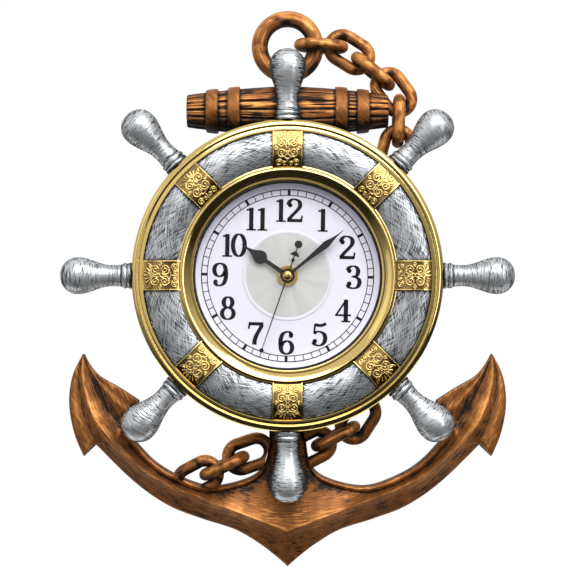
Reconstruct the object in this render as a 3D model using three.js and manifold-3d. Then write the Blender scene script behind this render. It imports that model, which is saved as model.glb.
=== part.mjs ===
// A ship wheel wall clock: a spoked wheel round a dial, backed by an anchor with its stock, ring and chain.
// Millimetres, +Z up, +X to the right of the dial, +Y into the wall. The wall is the plane y = 0.
// The origin is the point where the wall nail carries the hanger.
// Depths are measured from the wall towards the viewer, radii from the axis of the hands.
import * as THREE from "three";
import { mergeVertices } from "three/addons/utils/BufferGeometryUtils.js";
import Module from "manifold-3d";

const wasm = await Module();
wasm.setup();

// Fits and facets
const GAP = 0.3;
const WALL = 2.4;
const WHEEL_FACETS = 32;
const SPOKE_FACETS = 10;
const STOCK_FACETS = 18;
const WIRE_FACETS = 6;
const LOOP_FACETS = 14;
const PIN_FACETS = 8;
const HUB_FACETS = 12;
const BEND_STEPS = 4;
const OVERSHOOT = 1;

// Wheel
const RIM_BACK = 22;
const LEDGE_WIDTH = 7.6;
const LEDGE_DROP = 3.2;
const CROWN_WIDTH = 25;
const CROWN_RISE = 2.5;
const CHANNEL_WIDTH = 12;
const CHANNEL_ROOF = 1.2;
const SPOKE_COUNT = 8;
const SPOKE_LENGTH = 51.1;
const SPOKE_STAND = 0.4;
const SPOKE_LIFT = 0.5;
const SPOKE_HEAD = 13.1;
const SPOKE_NECK = 7.5;
const SPOKE_COLLAR = 9.3;
const TENON_RADIUS = 3.5;
const TENON_LENGTH = 8;
const TRIM_FLARE = 0.6;
const TRIM_BEAD = 4.6;
const TRIM_BEAD_RISE = 2.3;
const LEDGE_RISE = 2;
const BAND_WIDTH = 22;
const BAND_THICKNESS = 0.9;
const BAND_LIFT = 0.7;
const BAND_OVERHANG = 2.2;

// Dial, lens and back case
const CASE_WALL = 3.6;
const DIAL_SEAT = 28;
const CASE_FLOOR = 2;
const FLANGE_WIDTH = 5;
const FLANGE_THICKNESS = 3;
const DIAL_THICKNESS = 0.8;
const DIAL_VISIBLE = 66.4;
const LENS_THICKNESS = 2;
const BEZEL_REVEAL = 0.9;
const BEZEL_BEAD = 4.2;
const LENS_SEAT = 7.1;
const LENS_COVER = 2.2;
const NAIL_INSET = 10.4;
const HANGER_WIDTH = 40;
const HANGER_MARGIN = 5;
const HANGER_THICKNESS = 1.2;
const HANGER_INSET = 0.8;
const POST_HALF_WIDTH = 4;
const NAIL_SLOT = 2.6;
const NAIL_HEAD = 4.6;
const KEYHOLE_DROP = 8;

// Anchor, stock, ring and chain
const ANCHOR_BACK = 1;
const ANCHOR_EDGE = 9;
const CROWN_CREST = 20.9;
const NECK_CREST = 19;
const FLUKE_TIP_FRONT = 9;
const PALM_EDGE_FRONT = 11;
const PALM_FOLD_FRONT = 9.4;
const CREST_FOOT_DROP = 74.2;
const CROWN_TIP_DROP = 99;
const LIP_WIDTH = 3;
const LIP_RISE = 1.6;
const SHANK_FRONT = 17;
const ARM_FRONT = 13.5;
const POCKET_DEPTH = 7;
const YOKE_INSET = 1;
const YOKE_WIDTH = 14.5;
const YOKE_BACK = 12;
const HEAD_HALF_WIDTH = 8.5;
const HEAD_BACK = 4;
const HEAD_LAP = 3.5;
const STOCK_RISE = 9;
const STOCK_DEPTH = 18.5;
const STOCK_LENGTH = 145;
const STOCK_END_RADIUS = 11.7;
const STOCK_MID_RADIUS = 17.9;
const HOOP_WIDTH = 8.6;
const HOOP_THICKNESS = 1.9;
const HOOP_INNER_PLACE = 38.6;
const HOOP_OUTER_PLACE = 54.3;
const RING_STAND = 3;
const RING_RADIUS = 20.1;
const RING_WIRE = 5.9;
const CHAIN_DEPTH = 15.2;
const LINK_WIRE = 4.3;
const LINK_HOLE_LENGTH = 22.2;
const LINK_HOLE_WIDTH = 10.3;
const RING_SLACK = 1;
const RING_PASS = 0.7;
const CHAIN_FOOT = 51;
const CHAIN_FOOT_RISE = 6;
const CHAIN_TAIL = 28.2;
const CHAIN_TAIL_DROP = 19.2;

// Movement and hands
const MOVEMENT_DEPTH = 16;
const MOVEMENT_WALL = 1.6;
const TRAIN_FLOOR = -10.2;
const BUSH_RADIUS = 4;
const BUSH_BORE = 2.8;
const HOUR_PIPE = 2.5;
const MINUTE_PIPE = 1.5;
const ARBOR_RADIUS = 0.6;
const STUD_RADIUS = 0.45;
const PIVOT_LENGTH = 0.7;
const GEAR_THICKNESS = 1;
const GEAR_SPACING = 0.5;
const ADDENDUM = 1;
const DEDENDUM = 1.5;
const TRAIN_DISTANCE = 10.2;
const STEP_DISTANCE = 10.4;
const ROTOR_DISTANCE = 7.2;
const MOTION_DISTANCE = 7.5;
const MAGNET_RADIUS = 2.4;
const STATOR_MARGIN = 2;
const STATOR_LEG = 3;
const BOARD_CLEARANCE = 5.6;
const KNOB_RADIUS = 5;
const NUT_RADIUS = 7.3;
const NUT_THICKNESS = 2.3;
const BATTERY_RADIUS = 7;
const BATTERY_LENGTH = 49;
const NUB_RADIUS = 2.7;
const NUB_HEIGHT = 1;
const BATTERY_ROOM = 3.8;
const HAND_THICKNESS = 0.6;
const HAND_LIFT = 0.7;
const HAND_SPACING = 1;
const HAND_ROOM = 0.4;
const HOUR_HAND_LENGTH = 40;
const MINUTE_HAND_LENGTH = 51.6;
const SECOND_HAND_LENGTH = 57;
const SECOND_TAIL_LENGTH = 23.2;
const SPADE_HALF_WIDTH = 4.7;
const STEM_HALF_WIDTH = 1.3;
const LANCE_HALF_WIDTH = 2.9;
const LANCE_STEM = 0.9;
const NEEDLE_HALF_WIDTH = 0.45;
const TAIL_DISC = 2.7;
const POINT_HALF_WIDTH = 0.2;
const CAP_RADIUS = 3.5;
const CAP_HEIGHT = 1.6;
const SHOWN_HOUR = 10;
const SHOWN_MINUTE = 8.5;
const SHOWN_SECOND = 33.2;

// Depths stack up from the dial's seat through the hands and the lens to the crown of the rim.
const HOUR_HAND_DEPTH = DIAL_SEAT + DIAL_THICKNESS + 2 * GAP + NUT_THICKNESS + HAND_LIFT;
const MINUTE_HAND_DEPTH = HOUR_HAND_DEPTH + HAND_THICKNESS + HAND_SPACING;
const SECOND_HAND_DEPTH = MINUTE_HAND_DEPTH + HAND_THICKNESS + HAND_SPACING;
const LENS_DEPTH = SECOND_HAND_DEPTH + HAND_THICKNESS + CAP_HEIGHT + HAND_ROOM;
const CROWN_EDGE = LENS_DEPTH + LENS_THICKNESS + LENS_COVER;
const RIM_SHOULDER = CROWN_EDGE - LEDGE_DROP;
const CHANNEL_FLOOR = RIM_SHOULDER - CHANNEL_ROOF;

// The wheel is built outwards from the dial, and the anchor, stock and ring follow its rim.
const BEZEL_OPENING = DIAL_VISIBLE + BEZEL_REVEAL;
const CASE_BORE = BEZEL_OPENING + LENS_SEAT;
const CASE_RADIUS = CASE_BORE + CASE_WALL;
const NAIL_HEIGHT = CASE_BORE - NAIL_INSET;
const CROWN_INNER = CASE_BORE + WALL + GAP;
const CROWN_OUTER = CROWN_INNER + CROWN_WIDTH;
const RIM_RADIUS = CROWN_OUTER + LEDGE_WIDTH;
const CHANNEL_INNER = CASE_RADIUS + FLANGE_WIDTH;
const CHANNEL_OUTER = CHANNEL_INNER + CHANNEL_WIDTH;
const TRIM_RADIUS = RIM_RADIUS + GAP;
const SPOKE_BASE = TRIM_RADIUS + TRIM_FLARE + SPOKE_STAND;
const SPOKE_TIP = SPOKE_BASE + SPOKE_LENGTH;
const SPOKE_DEPTH = CROWN_CREST + SPOKE_LIFT + SPOKE_HEAD;
const YOKE_INNER = CHANNEL_INNER + YOKE_INSET;
const YOKE_OUTER = YOKE_INNER + YOKE_WIDTH;
const STOCK_HEIGHT = RIM_RADIUS + STOCK_RISE;
const RING_HEIGHT = STOCK_HEIGHT + STOCK_MID_RADIUS + RING_STAND + RING_WIRE + RING_RADIUS;
const HEAD_TOP = RING_HEIGHT - RING_RADIUS + HEAD_LAP;
const LINK_LENGTH = LINK_HOLE_LENGTH + 4 * LINK_WIRE;
const LINK_WIDTH = LINK_HOLE_WIDTH + 4 * LINK_WIRE;

const paint = {
  gold: new THREE.MeshStandardMaterial({ color: 0xd9b64a, metalness: 1, roughness: 0.2 }),
  silver: new THREE.MeshStandardMaterial({ color: 0xa8adb3, metalness: 0.8, roughness: 0.45 }),
  copper: new THREE.MeshStandardMaterial({ color: 0xb5652b, metalness: 0.8, roughness: 0.4 }),
  black: new THREE.MeshStandardMaterial({ color: 0x141414, roughness: 0.5 }),
  card: new THREE.MeshStandardMaterial({ color: 0xe6e2f0, roughness: 0.7 }),
  glass: new THREE.MeshStandardMaterial({ color: 0xffffff, opacity: 0.15, transparent: true, roughness: 0 }),
  steel: new THREE.MeshStandardMaterial({ color: 0x9a9ca0, metalness: 1, roughness: 0.35 }),
  brass: new THREE.MeshStandardMaterial({ color: 0xc9a24a, metalness: 1, roughness: 0.3 }),
  nylon: new THREE.MeshStandardMaterial({ color: 0xe8e4da, roughness: 0.6 }),
};

const turn = Math.PI * 2;
const radians = THREE.MathUtils.degToRad;

// Solids

function solid(geometry) {
  const bare = geometry.index ? geometry.toNonIndexed() : geometry;
  const points = new THREE.BufferGeometry().setAttribute("position", bare.getAttribute("position"));
  const merged = mergeVertices(points, 1e-4);
  const mesh = new wasm.Mesh({
    numProp: 3,
    vertProperties: merged.attributes.position.array,
    triVerts: new Uint32Array(merged.index.array),
  });
  return new wasm.Manifold(mesh);
}

function geometryOf(manifold) {
  const mesh = manifold.getMesh();
  const geometry = new THREE.BufferGeometry();
  geometry.setAttribute("position", new THREE.BufferAttribute(mesh.vertProperties, 3));
  geometry.setIndex(new THREE.BufferAttribute(mesh.triVerts, 1));
  return geometry.toNonIndexed();
}

function joined(geometries) {
  const solids = geometries.map(solid);
  return geometryOf(solids.reduce((whole, piece) => whole.add(piece)));
}

function cut(geometry, tools) {
  const solids = tools.map(solid);
  return geometryOf(solids.reduce((whole, tool) => whole.subtract(tool), solid(geometry)));
}

// A turning about Y from [radius, y] points in either order, which end on the axis or close on themselves.
function lathe(profile, facets) {
  const points = profile.map(([radius, y]) => new THREE.Vector2(radius, y));
  const closed = points[0].x === 0 ? points : [...points, points[0].clone()];
  const outward = THREE.ShapeUtils.area(points) > 0 ? closed : closed.reverse();
  return new THREE.LatheGeometry(outward, facets);
}

// A ring or disc about the axis of the hands, from [radius, depth] points.
function turned(profile, facets = WHEEL_FACETS) {
  return lathe(profile.map(([radius, depth]) => [radius, -depth]), facets);
}

// A flat piece seen from the front, between two depths.
function plate(shape, back, front, curveSegments = 6) {
  const settings = { depth: front - back, bevelEnabled: false, curveSegments };
  return new THREE.ExtrudeGeometry(shape, settings).rotateX(turn / 4).translate(0, -back, 0);
}

function outline(points) {
  return new THREE.Shape(points.map(([x, z]) => new THREE.Vector2(x, z)));
}

function rectangle(left, bottom, right, top) {
  return outline([[left, bottom], [right, bottom], [right, top], [left, top]]);
}

function disc(radius, x = 0, z = 0) {
  return new THREE.Shape().absarc(x, z, radius, 0, turn);
}

function pin(radius, back, front, x = 0, z = 0, facets = PIN_FACETS) {
  const middle = (back + front) / 2;
  return new THREE.CylinderGeometry(radius, radius, front - back, facets).translate(x, -middle, z);
}

// A skin over rows of points, each row a closed loop of the same count, with flat ends.
function skinned(rows) {
  const count = rows[0].length;
  const faces = [];
  for (let row = 0; row + 1 < rows.length; row++) {
    for (let i = 0; i < count; i++) {
      const next = (i + 1) % count;
      faces.push(rows[row][i], rows[row + 1][i], rows[row + 1][next]);
      faces.push(rows[row][i], rows[row + 1][next], rows[row][next]);
    }
  }
  const last = rows[rows.length - 1];
  for (let i = 1; i + 1 < count; i++) {
    faces.push(rows[0][0], rows[0][i], rows[0][i + 1]);
    faces.push(last[0], last[i + 1], last[i]);
  }
  return new THREE.BufferGeometry().setFromPoints(faces);
}

function steps(count, formula) {
  return Array.from({ length: count + 1 }, (_, i) => formula(i / count));
}

// Wheel

const crownMiddle = (CROWN_INNER + CROWN_OUTER) / 2;
const crownHalf = (CROWN_OUTER - CROWN_INNER) / 2;
const rimLedge = RIM_SHOULDER + LEDGE_RISE;

function crownDepth(radius) {
  return CROWN_EDGE + CROWN_RISE * (1 - ((radius - crownMiddle) / crownHalf) ** 2);
}

function crownLine(from, to, lift) {
  return steps(BEND_STEPS, (t) => {
    const radius = THREE.MathUtils.lerp(from, to, t);
    return [radius, crownDepth(radius) + lift];
  });
}

// The half-round top of a bead, from its outer to its inner foot.
function beadLine(outer, width, foot, rise) {
  return steps(BEND_STEPS, (t) => {
    const angle = t * Math.PI;
    return [outer - (width / 2) * (1 - Math.cos(angle)), foot + rise * Math.sin(angle)];
  });
}

function radial(geometry, angle) {
  return geometry.rotateY(angle);
}

function spokeAngle(index) {
  return (index * turn) / SPOKE_COUNT;
}

// A turning along +Z from [height, radius] points, at the depth of the spokes.
function spokeTurning(profile) {
  const points = profile.map(([height, radius]) => [radius, height]);
  return lathe(points, SPOKE_FACETS).rotateX(turn / 4).translate(0, -SPOKE_DEPTH, 0);
}

function spoke(growth = 0) {
  const head = SPOKE_HEAD + growth;
  const headPlace = SPOKE_TIP - SPOKE_HEAD;
  const profile = [
    [SPOKE_BASE - TENON_LENGTH, 0],
    [SPOKE_BASE - TENON_LENGTH, TENON_RADIUS],
    [SPOKE_BASE - growth, TENON_RADIUS],
    [SPOKE_BASE - growth, SPOKE_COLLAR + growth],
    [SPOKE_BASE + 2.6, SPOKE_NECK + 0.8 + growth],
    [SPOKE_BASE + 4.6, SPOKE_COLLAR + growth],
    [SPOKE_BASE + 7.2, SPOKE_NECK + 0.5 + growth],
    [SPOKE_BASE + 13, SPOKE_NECK + growth],
    [headPlace - 15, SPOKE_NECK + 1.9 + growth],
    [headPlace - 7, head - 1.1],
    [headPlace, head],
    [headPlace + SPOKE_HEAD * 0.5, head * 0.88],
    [headPlace + SPOKE_HEAD * 0.84, head * 0.55],
    [SPOKE_TIP + growth, 0],
  ];
  return spokeTurning(profile);
}

function spokeSocket() {
  const bottom = SPOKE_BASE - TENON_LENGTH - GAP;
  const radius = TENON_RADIUS + GAP;
  return spokeTurning([[bottom, 0], [bottom, radius], [SPOKE_BASE, radius], [SPOKE_BASE, 0]]);
}

function rim() {
  const ring = turned([
    [CROWN_INNER, RIM_BACK],
    [CHANNEL_INNER, RIM_BACK],
    [CHANNEL_INNER, CHANNEL_FLOOR],
    [CHANNEL_OUTER, CHANNEL_FLOOR],
    [CHANNEL_OUTER, RIM_BACK],
    [RIM_RADIUS, RIM_BACK],
    [RIM_RADIUS, RIM_SHOULDER],
    [CROWN_OUTER, RIM_SHOULDER],
    ...crownLine(CROWN_OUTER, CROWN_INNER, 0),
  ]);
  const sockets = steps(SPOKE_COUNT - 1, (t) => radial(spokeSocket(), spokeAngle(t * (SPOKE_COUNT - 1))));
  return cut(ring, sockets);
}

function outerTrim() {
  const foot = TRIM_RADIUS - TRIM_BEAD;
  const beadFoot = rimLedge + TRIM_BEAD_RISE - LEDGE_RISE / 5;
  return turned([
    [CROWN_OUTER + GAP, RIM_SHOULDER + GAP],
    [TRIM_RADIUS + TRIM_FLARE, RIM_SHOULDER + GAP],
    [TRIM_RADIUS + TRIM_FLARE, rimLedge - LEDGE_RISE / 2],
    ...beadLine(TRIM_RADIUS, TRIM_BEAD, beadFoot, TRIM_BEAD_RISE),
    [foot, rimLedge],
    [CROWN_OUTER + GAP, rimLedge],
  ]);
}

function innerBezel() {
  const outside = CROWN_INNER - GAP;
  const beadOuter = outside - FLANGE_THICKNESS;
  const lensFront = LENS_DEPTH + LENS_THICKNESS + GAP;
  return turned([
    [outside - WALL, DIAL_SEAT + GAP],
    [outside, DIAL_SEAT + GAP],
    [outside, rimLedge],
    [beadOuter + GAP, rimLedge],
    ...beadLine(beadOuter, BEZEL_BEAD, rimLedge + LEDGE_RISE / 3, TRIM_BEAD_RISE),
    [BEZEL_OPENING, lensFront + GAP],
    [BEZEL_OPENING, lensFront],
    [outside - WALL, lensFront],
  ]);
}

// A strap over the crown, bent along the radius and straight across.
function band() {
  const inner = CROWN_INNER - BAND_OVERHANG;
  const outer = CROWN_OUTER + BAND_OVERHANG;
  const under = crownLine(inner, outer, BAND_LIFT);
  const over = crownLine(outer, inner, BAND_LIFT + BAND_THICKNESS);
  const section = outline([...under, ...over]);
  const settings = { depth: BAND_WIDTH, bevelEnabled: false };
  const strap = new THREE.ExtrudeGeometry(section, settings).translate(0, 0, -BAND_WIDTH / 2);
  return strap.rotateX(turn / 2).rotateY(-turn / 4);
}

// Dial, lens and back case

function dial() {
  const outer = CROWN_INNER - GAP - WALL - GAP;
  const back = DIAL_SEAT + GAP;
  return turned([
    [BUSH_RADIUS + GAP, back],
    [outer, back],
    [outer, back + DIAL_THICKNESS],
    [DIAL_VISIBLE + WALL, back + DIAL_THICKNESS],
    [DIAL_VISIBLE + WALL, LENS_DEPTH - GAP],
    [DIAL_VISIBLE, LENS_DEPTH - GAP],
    [DIAL_VISIBLE, back + DIAL_THICKNESS],
    [BUSH_RADIUS + GAP, back + DIAL_THICKNESS],
  ]);
}

function lens() {
  const radius = CROWN_INNER - GAP - WALL - GAP;
  const front = LENS_DEPTH + LENS_THICKNESS;
  return turned([[0, LENS_DEPTH], [radius, LENS_DEPTH], [radius, front], [0, front]]);
}

function backCase() {
  const neck = CROWN_INNER - GAP;
  const flangeFront = RIM_BACK - GAP;
  const floorBack = DIAL_SEAT - CASE_FLOOR;
  const cup = turned([
    [BUSH_RADIUS + 2 * GAP, DIAL_SEAT],
    [neck, DIAL_SEAT],
    [neck, flangeFront],
    [CASE_RADIUS + FLANGE_WIDTH, flangeFront],
    [CASE_RADIUS + FLANGE_WIDTH, flangeFront - FLANGE_THICKNESS],
    [CASE_RADIUS, flangeFront - FLANGE_THICKNESS],
    [CASE_RADIUS, 0],
    [CASE_BORE, 0],
    [CASE_BORE, floorBack],
    [BUSH_RADIUS + 2 * GAP, floorBack],
  ]);
  const half = POST_HALF_WIDTH;
  const place = HANGER_WIDTH / 2 - half;
  const postBack = HANGER_INSET + HANGER_THICKNESS + GAP;
  const posts = [-place, place].map((x) => {
    const foot = rectangle(x - half, NAIL_HEIGHT - half, x + half, NAIL_HEIGHT + half);
    return plate(foot, postBack, floorBack + CASE_FLOOR / 2);
  });
  return joined([cup, ...posts]);
}

function hanger() {
  const slotCentre = NAIL_HEIGHT - NAIL_SLOT;
  const headCentre = slotCentre - KEYHOLE_DROP;
  const bottom = headCentre - NAIL_HEAD - HANGER_MARGIN;
  const shape = rectangle(-HANGER_WIDTH / 2, bottom, HANGER_WIDTH / 2, NAIL_HEIGHT + HANGER_MARGIN);
  const spread = Math.acos(NAIL_SLOT / NAIL_HEAD);
  const keyhole = new THREE.Path();
  keyhole.absarc(0, slotCentre, NAIL_SLOT, 0, Math.PI, false);
  keyhole.absarc(0, headCentre, NAIL_HEAD, Math.PI - spread, turn + spread, false);
  keyhole.closePath();
  shape.holes.push(keyhole);
  return plate(shape, HANGER_INSET, HANGER_INSET + HANGER_THICKNESS);
}

// Anchor: lines of one half as [x, z] stations from the centre line to the fluke, z from the foot of the rim.
// The other half mirrors it.
const armUpper = [
  [-13.3, 19.7], [-13.6, -11.3], [-18, -28.8], [-31, -38.1],
  [-55, -42.9], [-76, -37.1], [-97, -24.7], [-117, -2.8],
];
const armCrest = [
  [-2, -73.5], [-9, -70.9], [-19, -67.1], [-36, -60.7],
  [-58, -52.3], [-80, -43.9], [-102, -29.8], [-124, -7.3],
];
const armLower = [
  [-2, -97.3], [-9, -91.9], [-20, -84.3], [-38, -74.3],
  [-62, -66.9], [-87, -57.1], [-112, -39.3], [-140.4, -11.5],
];
const palmUpper = [
  [-107.5, 18.9], [-122, 28.2], [-136.5, 36.7], [-143.5, 44.7],
  [-148, 52.7],
];
const palmFold = [
  [-122.5, 9.7], [-129, 17.7], [-137, 31.7], [-144, 42.2],
  [-148.3, 52.8],
];
const palmCrest = [
  [-130, 0.7], [-137.5, 11.7], [-144.5, 27.7], [-148, 40.7],
  [-148.7, 52.9],
];
const palmLower = [
  [-147.5, -20.3], [-156, -2.3], [-159, 19.7], [-156.5, 37.7],
  [-149.2, 52.7],
];

function curve(stations) {
  return new THREE.SplineCurve(stations.map(([x, z]) => new THREE.Vector2(x, z - RIM_RADIUS)));
}

const lerp = THREE.MathUtils.lerp;

function section(places, fronts, back = ANCHOR_BACK) {
  const front = places.map((place, i) => new THREE.Vector3(place.x, -fronts[i], place.y));
  const first = places[0];
  const last = places[places.length - 1];
  return [new THREE.Vector3(first.x, -back, first.y), ...front, new THREE.Vector3(last.x, -back, last.y)];
}

function armSection(upper, crest, lower, t) {
  const toCrest = crest.clone().sub(upper);
  const foot = upper.clone().addScaledVector(toCrest, LIP_WIDTH / toCrest.length());
  const edge = lerp(SHANK_FRONT, ARM_FRONT, Math.min(1, 2 * t));
  const top = lerp(CROWN_CREST, NECK_CREST, t);
  return section([upper, foot, crest, lower], [edge, edge - LIP_RISE, top, ANCHOR_EDGE]);
}

function armRows() {
  const upper = curve(armUpper);
  const crest = curve(armCrest);
  const lower = curve(armLower);
  return steps(12, (t) => armSection(upper.getPoint(t), crest.getPoint(t), lower.getPoint(t), t));
}

function palmRows() {
  const lines = [palmUpper, palmFold, palmCrest, palmLower].map(curve);
  return steps(6, (t) => {
    const crestFront = lerp(NECK_CREST - 1, FLUKE_TIP_FRONT, t);
    const fronts = [PALM_EDGE_FRONT, PALM_FOLD_FRONT, crestFront, ANCHOR_EDGE - 1];
    const tapered = fronts.map((front) => lerp(front, Math.min(front, FLUKE_TIP_FRONT), t));
    return section(lines.map((line) => line.getPoint(t)), tapered, lerp(ANCHOR_BACK, ANCHOR_BACK + 2, t));
  });
}

function mirrored(row) {
  return row.map((point) => new THREE.Vector3(-point.x, point.y, point.z));
}

// A moulded recess behind the arm, between two places along it.
function armPocket(from, to, side) {
  const upper = curve(armUpper);
  const lower = curve(armLower);
  const rows = steps(4, (t) => {
    const high = upper.getPoint(lerp(from, to, t));
    const low = lower.getPoint(lerp(from, to, t));
    const across = low.clone().sub(high).normalize();
    const inside = high.clone().addScaledVector(across, WALL);
    const outside = low.clone().addScaledVector(across, -WALL);
    return section([inside, outside], [POCKET_DEPTH, POCKET_DEPTH], -ANCHOR_BACK);
  });
  return skinned(side < 0 ? rows : rows.map(mirrored).reverse());
}

function anchor() {
  const half = [...armRows(), ...palmRows()];
  const heights = [armUpper[0][1], -CREST_FOOT_DROP, -CROWN_TIP_DROP];
  const middle = armSection(...heights.map((height) => new THREE.Vector2(0, height - RIM_RADIUS)), 0);
  const body = skinned([...half.map(mirrored).reverse(), middle, ...half]);
  const yokeFront = RIM_BACK - GAP;
  const yoke = turned([
    [YOKE_INNER, YOKE_BACK],
    [YOKE_OUTER, YOKE_BACK],
    [YOKE_OUTER, yokeFront],
    [YOKE_INNER, yokeFront],
  ]);
  const headShape = rectangle(-HEAD_HALF_WIDTH, YOKE_INNER + WALL, HEAD_HALF_WIDTH, HEAD_TOP);
  const head = plate(headShape, HEAD_BACK, CHAIN_DEPTH + RING_WIRE / 2);
  const whole = joined([body, yoke, head]);
  const pockets = [-1, 1].flatMap((side) => [armPocket(0.3, 0.55, side), armPocket(0.6, 0.93, side)]);
  return cut(whole, [...pockets, shackleRing(GAP)]);
}

// Stock, ring and chain

function stockRadius(x) {
  const share = Math.abs(x) / (STOCK_LENGTH / 2);
  return lerp(STOCK_MID_RADIUS, STOCK_END_RADIUS, share ** 1.6);
}

// A turning along X at the height of the stock, from [x, radius] points.
function stockTurning(profile) {
  const points = profile.map(([x, radius]) => [radius, x]);
  return lathe(points, STOCK_FACETS).rotateZ(-turn / 4).translate(0, -STOCK_DEPTH, STOCK_HEIGHT);
}

function wheelClearance() {
  const radius = TRIM_RADIUS + TRIM_FLARE + GAP;
  const back = RIM_BACK - GAP;
  const front = STOCK_DEPTH + 2 * STOCK_MID_RADIUS;
  return turned([[0, back], [radius, back], [radius, front], [0, front]], 2 * WHEEL_FACETS);
}

function stock() {
  const half = STOCK_LENGTH / 2;
  const barrel = steps(10, (t) => [lerp(-half, half, t), stockRadius(lerp(-half, half, t))]);
  const log = stockTurning([[-half, 0], ...barrel, [half, 0]]);
  const reach = HEAD_HALF_WIDTH + GAP;
  const span = 2 * STOCK_MID_RADIUS;
  const slot = rectangle(-reach, STOCK_HEIGHT - span, reach, STOCK_HEIGHT + span);
  return cut(log, [plate(slot, -GAP, SPOKE_DEPTH - SPOKE_HEAD), wheelClearance(), spoke(GAP)]);
}

function stockHoop(place) {
  const ends = [place - HOOP_WIDTH / 2, place + HOOP_WIDTH / 2];
  const inner = ends.map((x) => [x, stockRadius(x) + GAP]);
  const outer = ends.map((x) => [x, stockRadius(x) + HOOP_THICKNESS]);
  const hoop = stockTurning([inner[0], outer[0], outer[1], inner[1]]);
  return cut(hoop, [wheelClearance()]);
}

function shackleRing(growth = 0) {
  const torus = new THREE.TorusGeometry(RING_RADIUS, RING_WIRE + growth, WIRE_FACETS + 2, LOOP_FACETS + 6);
  return torus.rotateX(turn / 4).translate(0, -CHAIN_DEPTH, RING_HEIGHT);
}

// A link in the plane of the wall, its long axis along X: two half rings drawn apart.
function link(width = LINK_WIDTH) {
  const bend = width / 2 - LINK_WIRE;
  const torus = new THREE.TorusGeometry(bend, LINK_WIRE, WIRE_FACETS, LOOP_FACETS);
  torus.rotateZ(turn / LOOP_FACETS / 2);
  const position = torus.getAttribute("position");
  const draw = (LINK_LENGTH - width) / 2;
  for (let i = 0; i < position.count; i++) {
    position.setX(i, position.getX(i) + draw * Math.sign(position.getX(i)));
  }
  return torus.rotateX(turn / 4);
}

const wideLink = 2 * (RING_WIRE + 2 * GAP + 2 * LINK_WIRE);

// Each link is laid a taut pitch, less its slack, from the one before. Heading and tilt are falls towards +X.
// An edge link is turned a quarter about its long axis.
function laid(start, links) {
  let [x, z] = start;
  return links.map((entry) => {
    const step = entry.heading === undefined ? 0 : LINK_HOLE_LENGTH - entry.slack;
    x += step * Math.cos(radians(entry.heading ?? 0));
    z -= step * Math.sin(radians(entry.heading ?? 0));
    return { ...entry, x, z };
  });
}

const throughRing = RING_RADIUS - RING_WIRE - RING_SLACK + LINK_LENGTH / 2 - 2 * LINK_WIRE;
const chain = [
  ...laid([throughRing, RING_HEIGHT + RING_PASS], [
    { name: "chain_upper_1", tilt: 3, edge: true, width: wideLink },
    { name: "chain_upper_2", heading: 12.4, slack: 1.3, tilt: 32 },
    { name: "chain_upper_3", heading: 39.1, slack: 0.3, tilt: 40, edge: true },
    { name: "chain_upper_4", heading: 45.6, slack: 0.8, tilt: 54, trim: stockShadow },
    { name: "chain_upper_5", heading: 80.4, slack: 1.3, tilt: 92, edge: true, trim: stockShadow },
    { name: "chain_upper_6", heading: 95, slack: 0.4, tilt: 104 },
  ]),
  ...laid([CHAIN_FOOT, CHAIN_FOOT_RISE - RIM_RADIUS], [
    { name: "chain_lower_1", tilt: -57 },
    { name: "chain_lower_2", heading: 143, slack: 1.8, tilt: -27, edge: true },
    { name: "chain_lower_3", heading: 155.1, slack: 2.5, tilt: -27, trim: anchorShadow },
  ]),
  ...laid([-CHAIN_TAIL, -CHAIN_TAIL_DROP - RIM_RADIUS], [
    { name: "chain_lower_4", tilt: -19, trim: anchorShadow },
    { name: "chain_lower_5", heading: 154.4, slack: 2.8, tilt: -25, edge: true },
    { name: "chain_lower_6", heading: 155.6, slack: 1.1, tilt: -28, trim: anchorShadow },
  ]),
];

function chainLink({ x, z, tilt, edge, width }) {
  const loop = link(width);
  if (edge) loop.rotateX(turn / 4);
  return loop.rotateY(radians(tilt)).translate(x, -CHAIN_DEPTH, z);
}

// Links that run into the stock or behind the anchor are trimmed there.
function chainPiece(entry) {
  const loop = chainLink(entry);
  return entry.trim ? cut(loop, [entry.trim()]) : loop;
}

function stockShadow() {
  const end = STOCK_LENGTH / 2 + GAP;
  const barrel = steps(10, (t) => [lerp(-end, end, t), stockRadius(lerp(-end, end, t)) + GAP]);
  return stockTurning([[-end, 0], ...barrel, [end, 0]]);
}

// Everything that the anchor hides from the front, a gap wider than its outline.
function anchorShadow() {
  const stations = 24;
  const edge = curve(armUpper);
  const left = steps(stations, (t) => {
    const along = edge.getTangent(t);
    const point = edge.getPoint(t).add(new THREE.Vector2(along.y, -along.x).multiplyScalar(2 * GAP));
    return [point.x, point.y];
  });
  const right = left.map(([x, z]) => [-x, z]).reverse();
  const under = armLower[0][1] - RIM_RADIUS;
  const shape = outline([...left, [left[stations][0], under], [-left[stations][0], under], ...right]);
  return plate(shape, -GAP, 2 * CHAIN_DEPTH);
}

// Gears

// A wheel with straight-sided pointed teeth, one tooth pointing at the given angle from +X towards +Z.
function gearShape(teeth, pitchRadius, pointing) {
  const module = (2 * pitchRadius) / teeth;
  const pitch = turn / teeth;
  const tooth = [[pitchRadius - DEDENDUM * module, -0.5], [pitchRadius + ADDENDUM * module, 0]];
  const points = [];
  for (let i = 0; i < teeth; i++) {
    for (const [radius, share] of tooth) {
      const angle = pointing + (i + share) * pitch;
      points.push([radius * Math.cos(angle), radius * Math.sin(angle)]);
    }
  }
  return outline(points);
}

// Two gears that mesh: the driver has a tooth, and the follower a gap, on the line between their axes.
function gearPair(driver, follower, driverTeeth, followerTeeth) {
  const across = new THREE.Vector2().subVectors(follower, driver);
  const share = across.length() / (driverTeeth + followerTeeth);
  const towards = across.angle();
  const back = towards + turn / 2 + turn / followerTeeth / 2;
  return {
    driver: gearShape(driverTeeth, driverTeeth * share, towards),
    follower: gearShape(followerTeeth, followerTeeth * share, back),
  };
}

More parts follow.
